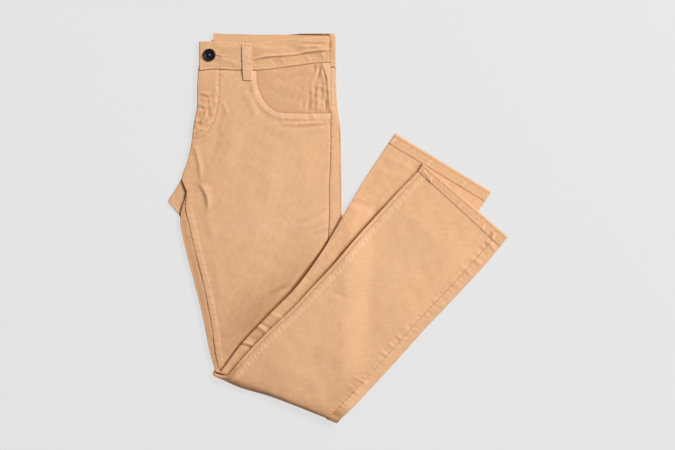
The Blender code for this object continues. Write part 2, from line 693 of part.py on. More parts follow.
# Both legs below the knee fold, with their hems
shin_panel("front_left_lower", left_leg, front_run(left_leg, LEG_ROUND), False)
shin_panel("back_left_lower", left_leg, back_run(left_leg, LEG_ROUND), False)
shin_panel("front_right_lower", right_leg, front_run(right_leg, LEG_ROUND), True)
shin_panel("back_right_lower", right_leg, back_run(right_leg, LEG_ROUND), True)
hem("hem_left", LEFT_SHIN[-1], LEFT_HEM_EDGE, KNEE_Z + LEFT_TURN, UP, False)
hem("hem_right", RIGHT_SHIN[-1], RIGHT_HEM_EDGE, KNEE_Z + RIGHT_TURN, UP, True)

# Waistband of the left half, and the right half beneath everything
band("waistband_front", FRONT_BAND[0].x, front_band_run, True)
band("waistband_back", BACK_BAND[0].x, back_band_run, False)
add_object("hidden_layers", loft_mesh(hidden_loops()), twill, trousers)

# Belt loop: a strip sewn on the band near its top and on the front below the band
loop_share = np.linspace(0, 1, 5)
loop_under = []
for row in LOOP:
    loop_under.append([(row.left + f * (row.right - row.left), row.y, row.under) for f in loop_share])
loop_under = np.array(loop_under)
loop_over = loop_under + UP * LOOP_CLOTH
loop_over[:, (0, -1), 2] -= LOOP_EDGE_DROP
add_object("belt_loop", wall_mesh(loop_over, loop_under), twill, trousers)

# Button: a turned cap with a rolled rim and a dished face, on a short shank
turned = bmesh.new()
outline = [turned.verts.new((r * MM, 0, z * MM)) for r, z in BUTTON_PROFILE]
edges = [turned.edges.new(pair) for pair in zip(outline, outline[1:])]
bmesh.ops.spin(
    turned, geom=outline + edges, cent=(0, 0, 0), axis=(0, 0, 1), angle=2 * np.pi, steps=BUTTON_STEPS
)
bmesh.ops.remove_doubles(turned, verts=turned.verts, dist=0.00001)
button_z = BAND_Z + BAND_ROUND + SEAM_GAP
add_object("button", turned, black_metal, trousers, (BUTTON_X * MM, BUTTON_Y * MM, button_z * MM))
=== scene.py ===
"""Looks of the folded twill trousers: every panel as a thin cloth shell on the frame's solids.

Lengths are in millimetres until a mesh is made. +X is right, +Y is up the photograph, +Z is up.
"""

from collections import namedtuple

import bpy
import numpy as np
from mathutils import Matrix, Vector
from mathutils.bvhtree import BVHTree


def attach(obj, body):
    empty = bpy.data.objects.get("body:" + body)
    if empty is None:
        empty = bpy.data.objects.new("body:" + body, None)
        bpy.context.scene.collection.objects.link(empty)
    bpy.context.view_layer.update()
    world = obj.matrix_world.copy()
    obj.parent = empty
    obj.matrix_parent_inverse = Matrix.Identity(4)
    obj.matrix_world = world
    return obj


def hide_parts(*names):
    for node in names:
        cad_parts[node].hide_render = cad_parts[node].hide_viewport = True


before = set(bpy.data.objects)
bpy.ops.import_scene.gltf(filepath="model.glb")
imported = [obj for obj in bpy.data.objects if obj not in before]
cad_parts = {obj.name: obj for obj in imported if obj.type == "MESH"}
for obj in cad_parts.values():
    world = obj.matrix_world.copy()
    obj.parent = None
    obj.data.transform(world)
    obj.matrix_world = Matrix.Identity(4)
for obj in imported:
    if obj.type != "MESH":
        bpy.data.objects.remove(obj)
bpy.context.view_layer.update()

# Photograph's view and light
# The garment lies on a pale table and is seen from straight above. One large soft lamp stands to
# the upper right, and the room fills the rest.
scene = bpy.context.scene
scene.view_settings.view_transform = "Standard"

CAMERA_HEIGHT = 2.4
GARMENT_MIDDLE = 0.01
FRAME_WIDTH = 1.08
VIEW_REACH = 50.0
SENSOR = 36.0
VIEW_X, VIEW_Y = -0.0003, 0.0038
camera_data = bpy.data.cameras.new("camera")
camera_data.sensor_width = SENSOR
camera_data.lens = SENSOR * CAMERA_HEIGHT / FRAME_WIDTH
camera_data.clip_end = VIEW_REACH
camera = bpy.data.objects.new("camera", camera_data)
camera.location = (VIEW_X, VIEW_Y, CAMERA_HEIGHT + GARMENT_MIDDLE)
scene.collection.objects.link(camera)
scene.camera = camera


def finish_of(name, values):
    """A material whose main shader has the given values, and that shader."""
    made = bpy.data.materials.new(name)
    made.use_nodes = True
    shader = made.node_tree.nodes["Principled BSDF"]
    for socket, value in values.items():
        shader.inputs[socket].default_value = value
    return made, shader


FLOOR_HALF = 6.0
FLOOR_SINK = 0.0004
FLOOR_CORNERS = ((-1, -1), (1, -1), (1, 1), (-1, 1))
FLOOR_PAINT = {
    "Base Color": (0.07, 0.07, 0.07, 1),
    "Roughness": 0.9,
    "Emission Color": (0.767, 0.767, 0.767, 1),
    "Emission Strength": 0.90,
}
floor_mesh = bpy.data.meshes.new("floor")
floor_points = [(x * FLOOR_HALF, y * FLOOR_HALF, -FLOOR_SINK) for x, y in FLOOR_CORNERS]
floor_mesh.from_pydata(floor_points, [], [(0, 1, 2, 3)])
floor_mesh.materials.append(finish_of("floor_paint", FLOOR_PAINT)[0])
floor = bpy.data.objects.new("floor", floor_mesh)
scene.collection.objects.link(floor)

ROOM_STRENGTH = 0.30
room = bpy.data.worlds.new("room")
room.use_nodes = True
room_light = room.node_tree.nodes["Background"]
room_light.inputs["Color"].default_value = (1, 1, 1, 1)
room_light.inputs["Strength"].default_value = ROOM_STRENGTH
scene.world = room

LAMP_PLACE = (2.2, 1.5, 2.5)
LAMP_SIZE = 1.1
LAMP_POWER = 160.0
lamp_data = bpy.data.lights.new("softbox", "AREA")
lamp_data.shape = "SQUARE"
lamp_data.size = LAMP_SIZE
lamp_data.energy = LAMP_POWER
lamp = bpy.data.objects.new("softbox", lamp_data)
lamp.location = LAMP_PLACE
from_middle = np.array(LAMP_PLACE) / np.linalg.norm(LAMP_PLACE)
lamp.rotation_euler = (np.arccos(from_middle[2]), 0, np.arctan2(from_middle[1], from_middle[0]) + np.pi / 2)
scene.collection.objects.link(lamp)

# Twill
# A mid-weight cotton twill dyed apricot tan, brushed and washed: fine diagonal ribs, a little
# uneven in the dye, worn paler on the ridges of seams, with painted shade darker in the grooves
# and where shadows fall.
TWILL_COLOUR = (0.730, 0.415, 0.222, 1)
TWILL_PALE = (0.880, 0.610, 0.420, 1)
TWILL_DARK = (0.330, 0.130, 0.045, 1)
TWILL_FINISH = {
    "Sheen Weight": 0.12,
    "Sheen Roughness": 0.6,
    "Sheen Tint": (1.0, 0.86, 0.72, 1),
    "Specular IOR Level": 0.22,
}
RIB_PITCH = 0.95
YARN_PITCH = 0.62 * RIB_PITCH
RIB_SLOPE = np.radians(62)
RIB_WANDER = 1.2
RIB_TONE, SLUB_TONE, MOTTLE_TONE, CLOUD_TONE = 0.035, 0.24, 0.10, 0.10
YARN_RISE, SLUB_RISE = 0.45, 3.0
WORN_LEAST, WORN_BY_SLUB = 0.55, 0.9
PALEST, DARKEST = 0.9, 0.95
ROUGHNESS, ROUGHNESS_RANGE = 0.80, 0.14
WEAVE_BUMP, WEAVE_HEIGHT = 0.55, 0.0001


def twill_group():
    """Node group: diagonal ribs crossed by yarns, from the cloth's own UV in millimetres, with
    the cloth paler where its point attribute is above zero, for wear, and darker where it is
    below zero, for painted shade and the dark lines of seams."""
    group = bpy.data.node_groups.new("twill_weave", "ShaderNodeTree")
    for socket in ("Cloth", "Pale", "Dark"):
        group.interface.new_socket(socket, in_out="INPUT", socket_type="NodeSocketColor")
    group.interface.new_socket("Color", in_out="OUTPUT", socket_type="NodeSocketColor")
    group.interface.new_socket("Roughness", in_out="OUTPUT", socket_type="NodeSocketFloat")
    group.interface.new_socket("Height", in_out="OUTPUT", socket_type="NodeSocketFloat")
    nodes, links = group.nodes, group.links
    given, out = nodes.new("NodeGroupInput"), nodes.new("NodeGroupOutput")
    uv = nodes.new("ShaderNodeUVMap")
    uv.uv_map = "cloth"
    wear_and_painted_light = nodes.new("ShaderNodeAttribute")
    wear_and_painted_light.attribute_name = "wear_and_painted_light"

    def math(kind, *values):
        node = nodes.new("ShaderNodeMath")
        node.operation = kind
        for place, value in enumerate(values):
            if isinstance(value, (int, float)):
                node.inputs[place].default_value = value
            else:
                links.new(value, node.inputs[place])
        return node.outputs[0]

    def turned(angle, scale_x, scale_y):
        turn, scale = nodes.new("ShaderNodeMapping"), nodes.new("ShaderNodeMapping")
        turn.inputs["Rotation"].default_value = (0, 0, angle)
        scale.inputs["Scale"].default_value = (scale_x, scale_y, 1)
        links.new(uv.outputs["UV"], turn.inputs["Vector"])
        links.new(turn.outputs["Vector"], scale.inputs["Vector"])
        return scale.outputs["Vector"]

    def noise(vector, detail):
        node = nodes.new("ShaderNodeTexNoise")
        node.inputs["Scale"].default_value = 1.0
        node.inputs["Detail"].default_value = detail
        links.new(vector, node.inputs["Vector"])
        return node.outputs["Fac"]

    def mixed(a, b, share):
        node = nodes.new("ShaderNodeMix")
        node.data_type = "RGBA"
        links.new(share, node.inputs["Factor"])
        links.new(a, node.inputs["A"])
        links.new(b, node.inputs["B"])
        return node.outputs["Result"]

    parts = nodes.new("ShaderNodeSeparateXYZ")
    links.new(turned(-RIB_SLOPE, 1.0, 1.0), parts.inputs[0])
    wander = noise(turned(-RIB_SLOPE, 0.05, 0.25), 1.0)
    across = math("ADD", parts.outputs["Y"], math("MULTIPLY", wander, RIB_WANDER))
    rib = math("SINE", math("MULTIPLY", across, 2 * np.pi / RIB_PITCH))
    yarn = math("SINE", math("MULTIPLY", parts.outputs["X"], 2 * np.pi / YARN_PITCH))
    slub = noise(turned(-RIB_SLOPE, 0.10, 0.75), 2.0)
    mottle = noise(turned(0.0, 0.11, 0.09), 3.0)
    cloud = noise(turned(0.0, 0.012, 0.010), 2.0)

    tone = math("MULTIPLY", rib, RIB_TONE)
    for uneven_dye, share in ((slub, SLUB_TONE), (mottle, MOTTLE_TONE), (cloud, CLOUD_TONE)):
        tone = math("ADD", tone, math("MULTIPLY", math("SUBTRACT", uneven_dye, 0.5), share))
    dyed = nodes.new("ShaderNodeVectorMath")
    dyed.operation = "SCALE"
    links.new(given.outputs["Cloth"], dyed.inputs[0])
    links.new(math("ADD", tone, 1.0), dyed.inputs["Scale"])

    by_slub = math("ADD", math("MULTIPLY", slub, WORN_BY_SLUB), WORN_LEAST)
    pale_share = math("MULTIPLY", wear_and_painted_light.outputs["Fac"], by_slub)
    paler = math("MINIMUM", math("MAXIMUM", pale_share, 0.0), PALEST)
    # Below zero the attribute mixes in the dark colour: painted shade, and the dark lines of seams.
    sunken = math("MULTIPLY", wear_and_painted_light.outputs["Fac"], -1.0)
    darker = math("MINIMUM", math("MAXIMUM", sunken, 0.0), DARKEST)
    faded = mixed(dyed.outputs[0], given.outputs["Pale"], paler)
    links.new(mixed(faded, given.outputs["Dark"], darker), out.inputs["Color"])
    rough = math("ADD", math("MULTIPLY", mottle, ROUGHNESS_RANGE), ROUGHNESS)
    links.new(rough, out.inputs["Roughness"])
    height = math("ADD", rib, math("MULTIPLY", yarn, YARN_RISE))
    links.new(math("ADD", height, math("MULTIPLY", slub, SLUB_RISE)), out.inputs["Height"])
    return group


def twill_material(name, cloth, pale, dark):
    """The twill's finish, coloured and raised by its weave."""
    made, shader = finish_of(name, TWILL_FINISH)
    nodes, links = made.node_tree.nodes, made.node_tree.links
    weave = nodes.new("ShaderNodeGroup")
    weave.node_tree = twill_group()
    weave.inputs["Cloth"].default_value = cloth
    weave.inputs["Pale"].default_value = pale
    weave.inputs["Dark"].default_value = dark
    raise_ribs = nodes.new("ShaderNodeBump")
    raise_ribs.inputs["Strength"].default_value = WEAVE_BUMP
    raise_ribs.inputs["Distance"].default_value = WEAVE_HEIGHT
    links.new(weave.outputs["Color"], shader.inputs["Base Color"])
    links.new(weave.outputs["Roughness"], shader.inputs["Roughness"])
    links.new(weave.outputs["Height"], raise_ribs.inputs["Height"])
    links.new(raise_ribs.outputs["Normal"], shader.inputs["Normal"])
    return made


twill = twill_material("twill", TWILL_COLOUR, TWILL_PALE, TWILL_DARK)

# Left thigh front
# The left front panel from the waistband to the knee fold, with the fly facing's J, the pocket
# mouth and its turned edge. It is sewn to the back panel along the inside leg and the side.
MM = 0.001
CLOTH = 0.9
SHARP_DEGREES = 50
SEAM_GAP = 0.3
WAIST_GAP = 0.7
LEG_ROUND = 2.0
THIGH_Z = 6.8
KNEE_Z = 9.05
WAIST_EASE = 60.0
BACK_BAND_LEFT_X = -199.5
INSEAM_AT_WAIST = -4.0
INSEAM_UPPER = (1 + np.cos(INSEAM_AT_WAIST / LEG_ROUND)) / 2
UP = np.array([0.0, 0.0, 1.0])

Section = namedtuple("Section", "left_x left_y right_x right_y inseam_in outseam_in")
Band = namedtuple("Band", "x bottom top")
Rows = namedtuple("Rows", "left right up inseam_in outseam_in")
THIGH = (
    Section(-223.8, 251.8, -2.4, 256.6, -4.0, 8.8),
    Section(-225.3, 219.8, -1.9, 223.0, -4.0, 9.1),
    Section(-225.1, 195.8, -0.6, 197.4, -4.0, 10.4),
    Section(-230.9, 164.7, 4.0, 163.8, -4.0, 15.2),
    Section(-235.0, 131.8, 5.3, 128.6, -4.0, 16.5),
    Section(-241.9, 102.3, 5.8, 95.0, -4.0, 18.0),
    Section(-249.9, 78.2, 6.1, 66.2, -4.0, 19.8),
    Section(-242.7, 55.8, 6.4, 39.0, 0.0, 20.0),
    Section(-250.1, 29.4, 7.0, 8.6, 6.6, 20.8),
    Section(-252.3, 8.6, 6.6, -20.2, 13.8, 22.0),
    Section(-247.2, -20.2, 5.8, -55.4, 15.4, 22.0),
    Section(-228.4, -93.8, 3.4, -135.4, 15.2, 21.0),
    Section(-215.6, -146.6, 1.3, -199.4, 13.0, 20.0),
    Section(-203.0, -207.4, -1.4, -273.0, 9.6, 19.0),
    Section(-197.0, -226.2, 1.4, -304.6, 8.0, 18.0),
)
FRONT_BAND = (
    Band(-222.0, 251.0, 297.6),
    Band(-202.7, 253.2, 298.2),
    Band(-169.1, 252.1, 296.5),
    Band(-130.7, 251.5, 295.2),
    Band(-95.5, 255.0, 300.6),
    Band(-68.3, 258.6, 302.6),
    Band(-41.1, 262.6, 304.4),
    Band(-11.5, 264.2, 304.6),
)
SIDE_BAND = (
    Band(-11.5, 256.6, 306.6),
    Band(-2.6, 257.2, 306.9),
)
BACK_BAND = (
    Band(-222.0, 262.0, 311.0),
    Band(-199.5, 264.0, 311.4),
    Band(-180.0, 264.0, 310.0),
    Band(-156.0, 263.0, 309.8),
    Band(-131.0, 262.2, 308.8),
    Band(-100.0, 261.6, 308.9),
    Band(-60.0, 260.2, 307.8),
    Band(-25.0, 258.4, 307.0),
    Band(-2.6, 257.2, 306.9),
)


def through(known, values, at):
    """Cubic curve through the known values, each span a Hermite blend of ends and slopes."""
    known, values, at = (np.asarray(a, float) for a in (known, values, at))
    slope = np.gradient(values, known, axis=0)
    span = np.clip(np.searchsorted(known, at, side="right") - 1, 0, len(known) - 2)
    step = known[span + 1] - known[span]
    t = np.clip((at - known[span]) / step, 0.0, 1.0)
    if values.ndim == 2:
        step, t = step[:, None], t[:, None]
    return (
        (2 * t**3 - 3 * t**2 + 1) * values[span]
        + (t**3 - 2 * t**2 + t) * step * slope[span]
        + (3 * t**2 - 2 * t**3) * values[span + 1]
        + (t**3 - t**2) * step * slope[span + 1]
    )


def smooth_table(table, count):
    """The table's rows, smoothed, at even distances down its middle line."""
    known = np.array(table, float)
    middle = (known[:, 0:2] + known[:, 2:4]) / 2
    down = np.concatenate([[0], np.cumsum(np.linalg.norm(np.diff(middle, axis=0), axis=1))])
    return through(down, known, np.linspace(0, down[-1], count))


def ease(value, start, end):
    """0 before start, 1 after end, and the smooth step 3t^2 - 2t^3 between them."""
    t = np.clip((value - start) / (end - start), 0.0, 1.0)
    return t * t * (3 - 2 * t)


def level_rows(sections, z, up):
    """Rows that lie level at height z, with the front panel on the side that up points to."""
    flat = np.full((len(sections), 1), z)
    return Rows(
        np.hstack([sections[:, 0:2], flat]),
        np.hstack([sections[:, 2:4], flat]),
        np.tile(up, (len(sections), 1)),
        sections[:, 4:5],
        sections[:, 5:6],
    )


def skin(rows, run, radius):
    """Points and facing of a flattened tube's skin.

    run is the distance round it: along the front's flat, half a circle of radius at the right
    edge, back along the other flat, and half a circle at the left edge.
    """
    across = rows.right - rows.left
    width = np.linalg.norm(across, axis=1, keepdims=True)
    along = (across / width)[:, None, :]
    flat = width - 2 * radius
    half_turn = np.pi * radius
    whole = 2 * (flat + half_turn)
    angle = (
        np.clip((run - flat) / radius, 0, np.pi)
        + np.clip((run - 2 * flat - half_turn) / radius, 0, np.pi)
        + np.clip(run / radius, -np.pi, 0)
    )
    place = (
        radius
        + np.clip(run, 0, flat)
        - np.clip(run - flat - half_turn, 0, flat)
        + np.clip(run - whole, 0, flat)
    )
    faces = np.cos(angle)[:, :, None] * rows.up[:, None, :] + np.sin(angle)[:, :, None] * along
    middle = rows.left[:, None, :] + place[:, :, None] * along
    return middle + radius * faces, faces


def stretches(breaks, counts, even=None):
    """Columns that divide each stretch between two breaks, evenly or finer at its two ends."""
    columns = [breaks[0]]
    for number, (start, stop, count) in enumerate(zip(breaks, breaks[1:], counts)):
        share = np.arange(1, count + 1) / count
        if even and even[number]:
            share = share - even[number] * np.sin(2 * np.pi * share) / (2 * np.pi)
        columns += [start + (stop - start) * s for s in share]
    return np.hstack(columns)


def flat_width(rows, radius):
    """Width of each row between the tube's two round edges."""
    return np.linalg.norm(rows.right - rows.left, axis=1, keepdims=True) - 2 * radius


STRIP_LEAST = 3.0
TURN_SHARE = 0.7
SIDE_FINER = 0.55


def front_run(rows, radius, counts):
    """Where the front panel's columns lie: from the inside-leg seam to the side seam."""
    start = rows.inseam_in - radius * (rows.inseam_in > 0) + SEAM_GAP / 2
    stop = flat_width(rows, radius) + radius - rows.outseam_in - SEAM_GAP / 2
    return stretches((start, np.maximum(0.0, start + STRIP_LEAST), stop), counts, (0, SIDE_FINER))


def back_run(rows, radius, counts):
    """Where the back panel's columns lie: from the side seam, round both edges, to the inseam."""
    flat = flat_width(rows, radius)
    half_turn = np.pi * radius
    start = flat + radius - rows.outseam_in + SEAM_GAP / 2
    stop = 2 * (flat + half_turn) + rows.inseam_in - radius * (rows.inseam_in > 0) - SEAM_GAP / 2
    left_turn = 2 * flat + half_turn
    round_left = left_turn + np.minimum(half_turn, TURN_SHARE * (stop - left_turn))
    return stretches((start, flat, flat + half_turn, left_turn, round_left, stop), counts)


def band_edges(band, x):
    """Lower and upper edge of a run of the waistband at x."""
    known = np.array(band)
    low = through(known[:, 0], known[:, 1], x.ravel()).reshape(x.shape)
    high = through(known[:, 0], known[:, 2], x.ravel()).reshape(x.shape)
    return low, high


def run_edges(x, faces, is_front):
    """Both edges of the front run, or of the back's, which rise to the front at both seams."""
    if is_front:
        return band_edges(FRONT_BAND, x)
    at_left = x < BACK_BAND_LEFT_X
    upper = (1 + faces[..., 2]) / 2
    upper = np.where(at_left, np.minimum(upper / INSEAM_UPPER, 1.0), upper)
    edges = []
    for front, side, back in zip(*(band_edges(run, x) for run in (FRONT_BAND, SIDE_BAND, BACK_BAND))):
        edges.append(upper * np.where(at_left, front, side) + (1 - upper) * back)
    return edges


def to_waist_seam(points, faces, is_front):
    """Bends a thigh panel's top to the lower edge of its own run of the waistband."""
    top = THIGH[0]
    x, y = points[..., 0], points[..., 1]
    slope = (top.right_y - top.left_y) / (top.right_x - top.left_x)
    straight = top.left_y + (x - top.left_x) * slope
    seam = run_edges(x, faces, is_front)[0]
    bent = points.copy()
    bent[..., 1] += (seam - straight - WAIST_GAP) * ease(y, top.left_y - WAIST_EASE, top.left_y)
    return bent


def field(x, y, length, seed, waves=14):
    """Smooth random relief of about unit size: waves of one length in all directions, summed."""
    draw = np.random.default_rng(seed)
    total = np.zeros_like(x)
    for _ in range(waves):
        way, phase = draw.uniform(0, 2 * np.pi, 2)
        size = 2 * np.pi / (length * draw.uniform(0.7, 1.5))
        total += np.sin(size * (x * np.cos(way) + y * np.sin(way)) + phase)
    return total / np.sqrt(waves / 2)


def uneven(x, y, table):
    """Summed random relief: each row has a rise, a wavelength and a seed."""
    return sum(rise * field(x, y, length, seed) for rise, length, seed in table)


def bell(distance, width, middle=0.0):
    """Bell curve: 1 at the middle distance, and 1/e one width to each side of it."""
    return np.exp(-(((distance - middle) / width) ** 2))


def fading(distance, reach):
    """1 at an edge, and 1/e one reach away from it."""
    return np.exp(-distance / reach)


def pucker(distance, length, seed):
    """Uneven ripple along a seam: three sines near one length, swelling and dying as it goes."""
    draw = np.random.default_rng(seed)
    total = np.zeros_like(distance)
    for share in (1.0, 0.73, 1.41):
        phase, drift = draw.uniform(0, 2 * np.pi, 2)
        swell = 0.65 + 0.35 * np.sin(distance / (length * 4.3 * share) + drift)
        wander = 1.2 * np.sin(distance / (length * 2.7))
        total += swell * np.sin(2 * np.pi * distance / (length * share) + phase + wander)
    return total / 3


Ripple = namedtuple("Ripple", "rise length seed width middle", defaults=(0.0,))


def rippled(along, apart, ripple):
    """A pucker along a seam, in a strip of one width about the ripple's middle distance."""
    strip = bell(apart, ripple.width, ripple.middle)
    return ripple.rise * pucker(along, ripple.length, ripple.seed) * strip


def creases(x, y, table):
    """Summed soft ridges and troughs. Each runs on a bent line, with a width to each side of it,
    and rises and dies smoothly towards its two ends."""
    height = np.zeros_like(x)
    for x0, y0, x1, y1, bend, width_left, width_right, rise in table:
        length = np.hypot(x1 - x0, y1 - y0)
        way_x, way_y = (x1 - x0) / length, (y1 - y0) / length
        forward = ((x - x0) * way_x + (y - y0) * way_y) / length
        bow = bend * 4 * forward * (1 - forward)
        aside = (x - x0) * -way_y + (y - y0) * way_x - bow
        width = np.where(aside > 0, width_left, width_right)
        ends = ease(forward, -0.12, 0.28) * ease(1 - forward, -0.12, 0.28)
        height += rise * ends * np.exp(-((aside / width) ** 2))
    return height


def blurred(height, reach):
    """Box average of a grid over reach cells each way."""
    whole = 2 * reach + 1
    for axis in (0, 1):
        pad = [(0, 0), (0, 0)]
        pad[axis] = (reach, reach)
        summed = np.cumsum(np.pad(height, pad, mode="edge"), axis=axis)
        summed = np.insert(summed, 0, 0, axis=axis)
        size = height.shape[axis]
        after = np.take(summed, np.arange(whole, whole + size), axis=axis)
        before = np.take(summed, np.arange(size), axis=axis)
        height = (after - before) / whole
    return height


def tones(x, y, table):
    """Summed soft ovals of darker (below zero) or paler colour, some of them painted shade: a bell curve
    along and one across.
    """
    total = np.zeros_like(x)
    for at_x, at_y, long, wide, turn, tone in table:
        along = (x - at_x) * np.cos(turn) + (y - at_y) * np.sin(turn)
        aside = (y - at_y) * np.cos(turn) - (x - at_x) * np.sin(turn)
        total += tone * np.exp(-((along / long) ** 2) - (aside / wide) ** 2)
    return total


def wear_and_hollow_shade_of(height, strength):
    """Paler where the cloth stands above its surroundings, as wear, and darker where it lies below them, as
    painted shade in its hollows.
    """
    return np.clip((height - blurred(height, 3)) * strength, -0.5, 0.6)


def walk(points):
    """Distance down each column of a grid of points, measured along its first column."""
    step = np.linalg.norm(np.diff(points[:, points.shape[1] // 2], axis=0), axis=1)
    return np.concatenate([[0], np.cumsum(step)])[:, None]


def shell(name, outer, faces, wear_and_painted_light, uv, finish, keep=None, ring=False, cloth=CLOTH):
    """A closed thin shell on a grid of outer points; its inner skin lies one cloth inwards.

    keep marks the points of the grid that stay, and ring joins its last column to its first.
    """
    inner = outer - cloth * faces
    rows, columns = outer.shape[:2]
    index = np.arange(rows * columns).reshape(rows, columns)
    right = np.roll(index, -1, axis=1) if ring else index[:, 1:]
    left = index if ring else index[:, :-1]
    quads = np.stack([left[:-1], left[1:], right[1:], right[:-1]], axis=-1).reshape(-1, 4)
    if keep is not None:
        quads = quads[keep.ravel()[quads].any(axis=1)]
    a, b, c = (outer.reshape(-1, 3)[quads[:, k]] for k in (0, 1, 2))
    if (np.cross(b - a, c - a) * faces.reshape(-1, 3)[quads[:, 0]]).sum() < 0:
        quads = quads[:, ::-1]
    ends = np.concatenate([quads[:, [k, (k + 1) % 4]] for k in range(4)])
    _, first, uses = np.unique(np.sort(ends, axis=1), axis=0, return_index=True, return_counts=True)
    rim = ends[first[uses == 1]]
    count = rows * columns
    rim_quads = np.stack([rim[:, 1], rim[:, 0], rim[:, 0] + count, rim[:, 1] + count], axis=1)
    quads = np.concatenate([quads, quads[:, ::-1] + count, rim_quads])
    points = np.concatenate([outer.reshape(-1, 3), inner.reshape(-1, 3)]) * MM
    used = np.unique(quads)
    place = np.zeros(2 * count, int)
    place[used] = np.arange(len(used))
    quads = place[quads]
    mesh = bpy.data.meshes.new(name)
    mesh.vertices.add(len(used))
    mesh.vertices.foreach_set("co", points[used].astype(np.float32).ravel())
    mesh.loops.add(quads.size)
    mesh.loops.foreach_set("vertex_index", quads.astype(np.int32).ravel())
    mesh.polygons.add(len(quads))
    mesh.polygons.foreach_set("loop_start", np.arange(0, quads.size, 4, dtype=np.int32))
    mesh.update(calc_edges=True)
    spread = np.concatenate([uv.reshape(-1, 2)] * 2)[used]
    layer = mesh.uv_layers.new(name="cloth")
    layer.data.foreach_set("uv", spread[quads.ravel()].astype(np.float32).ravel())
    marks = mesh.attributes.new("wear_and_painted_light", "FLOAT", "POINT")
    marks.data.foreach_set("value", np.concatenate([wear_and_painted_light.ravel()] * 2)[used].astype(np.float32))
    mesh.materials.append(finish)
    mesh.shade_smooth()
    mesh.set_sharp_from_angle(angle=np.radians(SHARP_DEGREES))
    piece = bpy.data.objects.new(name, mesh)
    scene.collection.objects.link(piece)
    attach(piece, "root")
    return piece


def cloth_uv(points, run):
    """Each point's place on the cut cloth: round the leg, and down it."""
    size = points.shape[:2]
    return np.stack([np.broadcast_to(run, size), np.broadcast_to(walk(points), size)], axis=-1)


def dress(node):
    """Hides the frame's part that a sheet of twill stands for."""
    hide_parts(node)


THIGH_ROWS = 360
thigh_sections = smooth_table(THIGH, THIGH_ROWS)
thigh = level_rows(thigh_sections, THIGH_Z, UP)

# Pocket mouth: a straight drop, a quarter ellipse, and a straight run to the side seam
MOUTH_X, MOUTH_Y = -130.1, 183.0
MOUTH_ROUND_X, MOUTH_ROUND_Y = 46.0, 61.0
MOUTH_TOP, MOUTH_RIGHT = 275.0, 20.0
MOUTH_SAG, MOUTH_SAG_SPAN = 0.9, 75.0
DROP_POINTS, BOW_POINTS, RUN_POINTS = 20, 30, 50
EDGE_BAND, EDGE_RISE, EDGE_SINK = 9.5, 0.75, 0.5


def mouth_curve():
    """Points down the pocket mouth, at about even distances."""
    centre_x, centre_y = MOUTH_X + MOUTH_ROUND_X, MOUTH_Y + MOUTH_ROUND_Y
    drop_y = np.linspace(MOUTH_TOP, centre_y, DROP_POINTS, endpoint=False)
    angle = np.linspace(0, np.pi / 2, BOW_POINTS)
    bow = (centre_x - MOUTH_ROUND_X * np.cos(angle), centre_y - MOUTH_ROUND_Y * np.sin(angle))
    run_x = np.linspace(centre_x + 2, MOUTH_RIGHT, RUN_POINTS)
    run_y = MOUTH_Y - MOUTH_SAG * np.sin(np.pi * (run_x - centre_x) / MOUTH_SAG_SPAN)
    lines = ((np.full(DROP_POINTS, MOUTH_X), drop_y), bow, (run_x, run_y))
    return np.concatenate([np.stack(line, axis=1) for line in lines])


def near_curve(x, y, curve):
    """Distance to a curve's nearest point, that point, and the distance run along the curve."""
    flat = np.stack([x.ravel(), y.ravel()], axis=1)
    start, way = curve[:-1], np.diff(curve, axis=0)
    length = np.linalg.norm(way, axis=1)
    run_before = np.concatenate([[0], np.cumsum(length)])[:-1]
    best = np.full(len(flat), np.inf)
    foot = np.zeros_like(flat)
    run = np.zeros(len(flat))
    for begin, step, size, before in zip(start, way, length, run_before):
        share = np.clip(((flat - begin) @ step) / size**2, 0, 1)
        place = begin + share[:, None] * step
        apart = np.linalg.norm(flat - place, axis=1)
        closer = apart < best
        best = np.where(closer, apart, best)
        foot[closer] = place[closer]
        run = np.where(closer, before + share * size, run)
    return best.reshape(x.shape), foot.reshape(*x.shape, 2), run.reshape(x.shape)


mouth = mouth_curve()
mouth_bottom = mouth[DROP_POINTS - 1:]


def in_mouth(x, y):
    """Whether points lie in the pocket's opening."""
    return (y > np.interp(x, mouth_bottom[:, 0], mouth_bottom[:, 1])) & (x > MOUTH_X)


LEFT_SHIN_EDGE = np.array([
    (-197.0, -226.2), (-186.3, -229.6), (-156.0, -188.9), (-105.1, -134.8), (-74.4, -104.2),
    (-25.4, -39.0), (8.0, 17.5), (38.1, 69.0), (80.0, 132.9),
])

# The fly facing's stitched J, from the waist seam to the left edge
FLY_LINE = np.array([
    (-190.2, 252.0), (-189.6, 219.8), (-191.0, 205.4), (-194.1, 183.0), (-197.1, 171.8),
    (-201.4, 164.7), (-206.9, 154.2), (-214.2, 147.4), (-221.8, 144.6), (-231.0, 143.0),
])

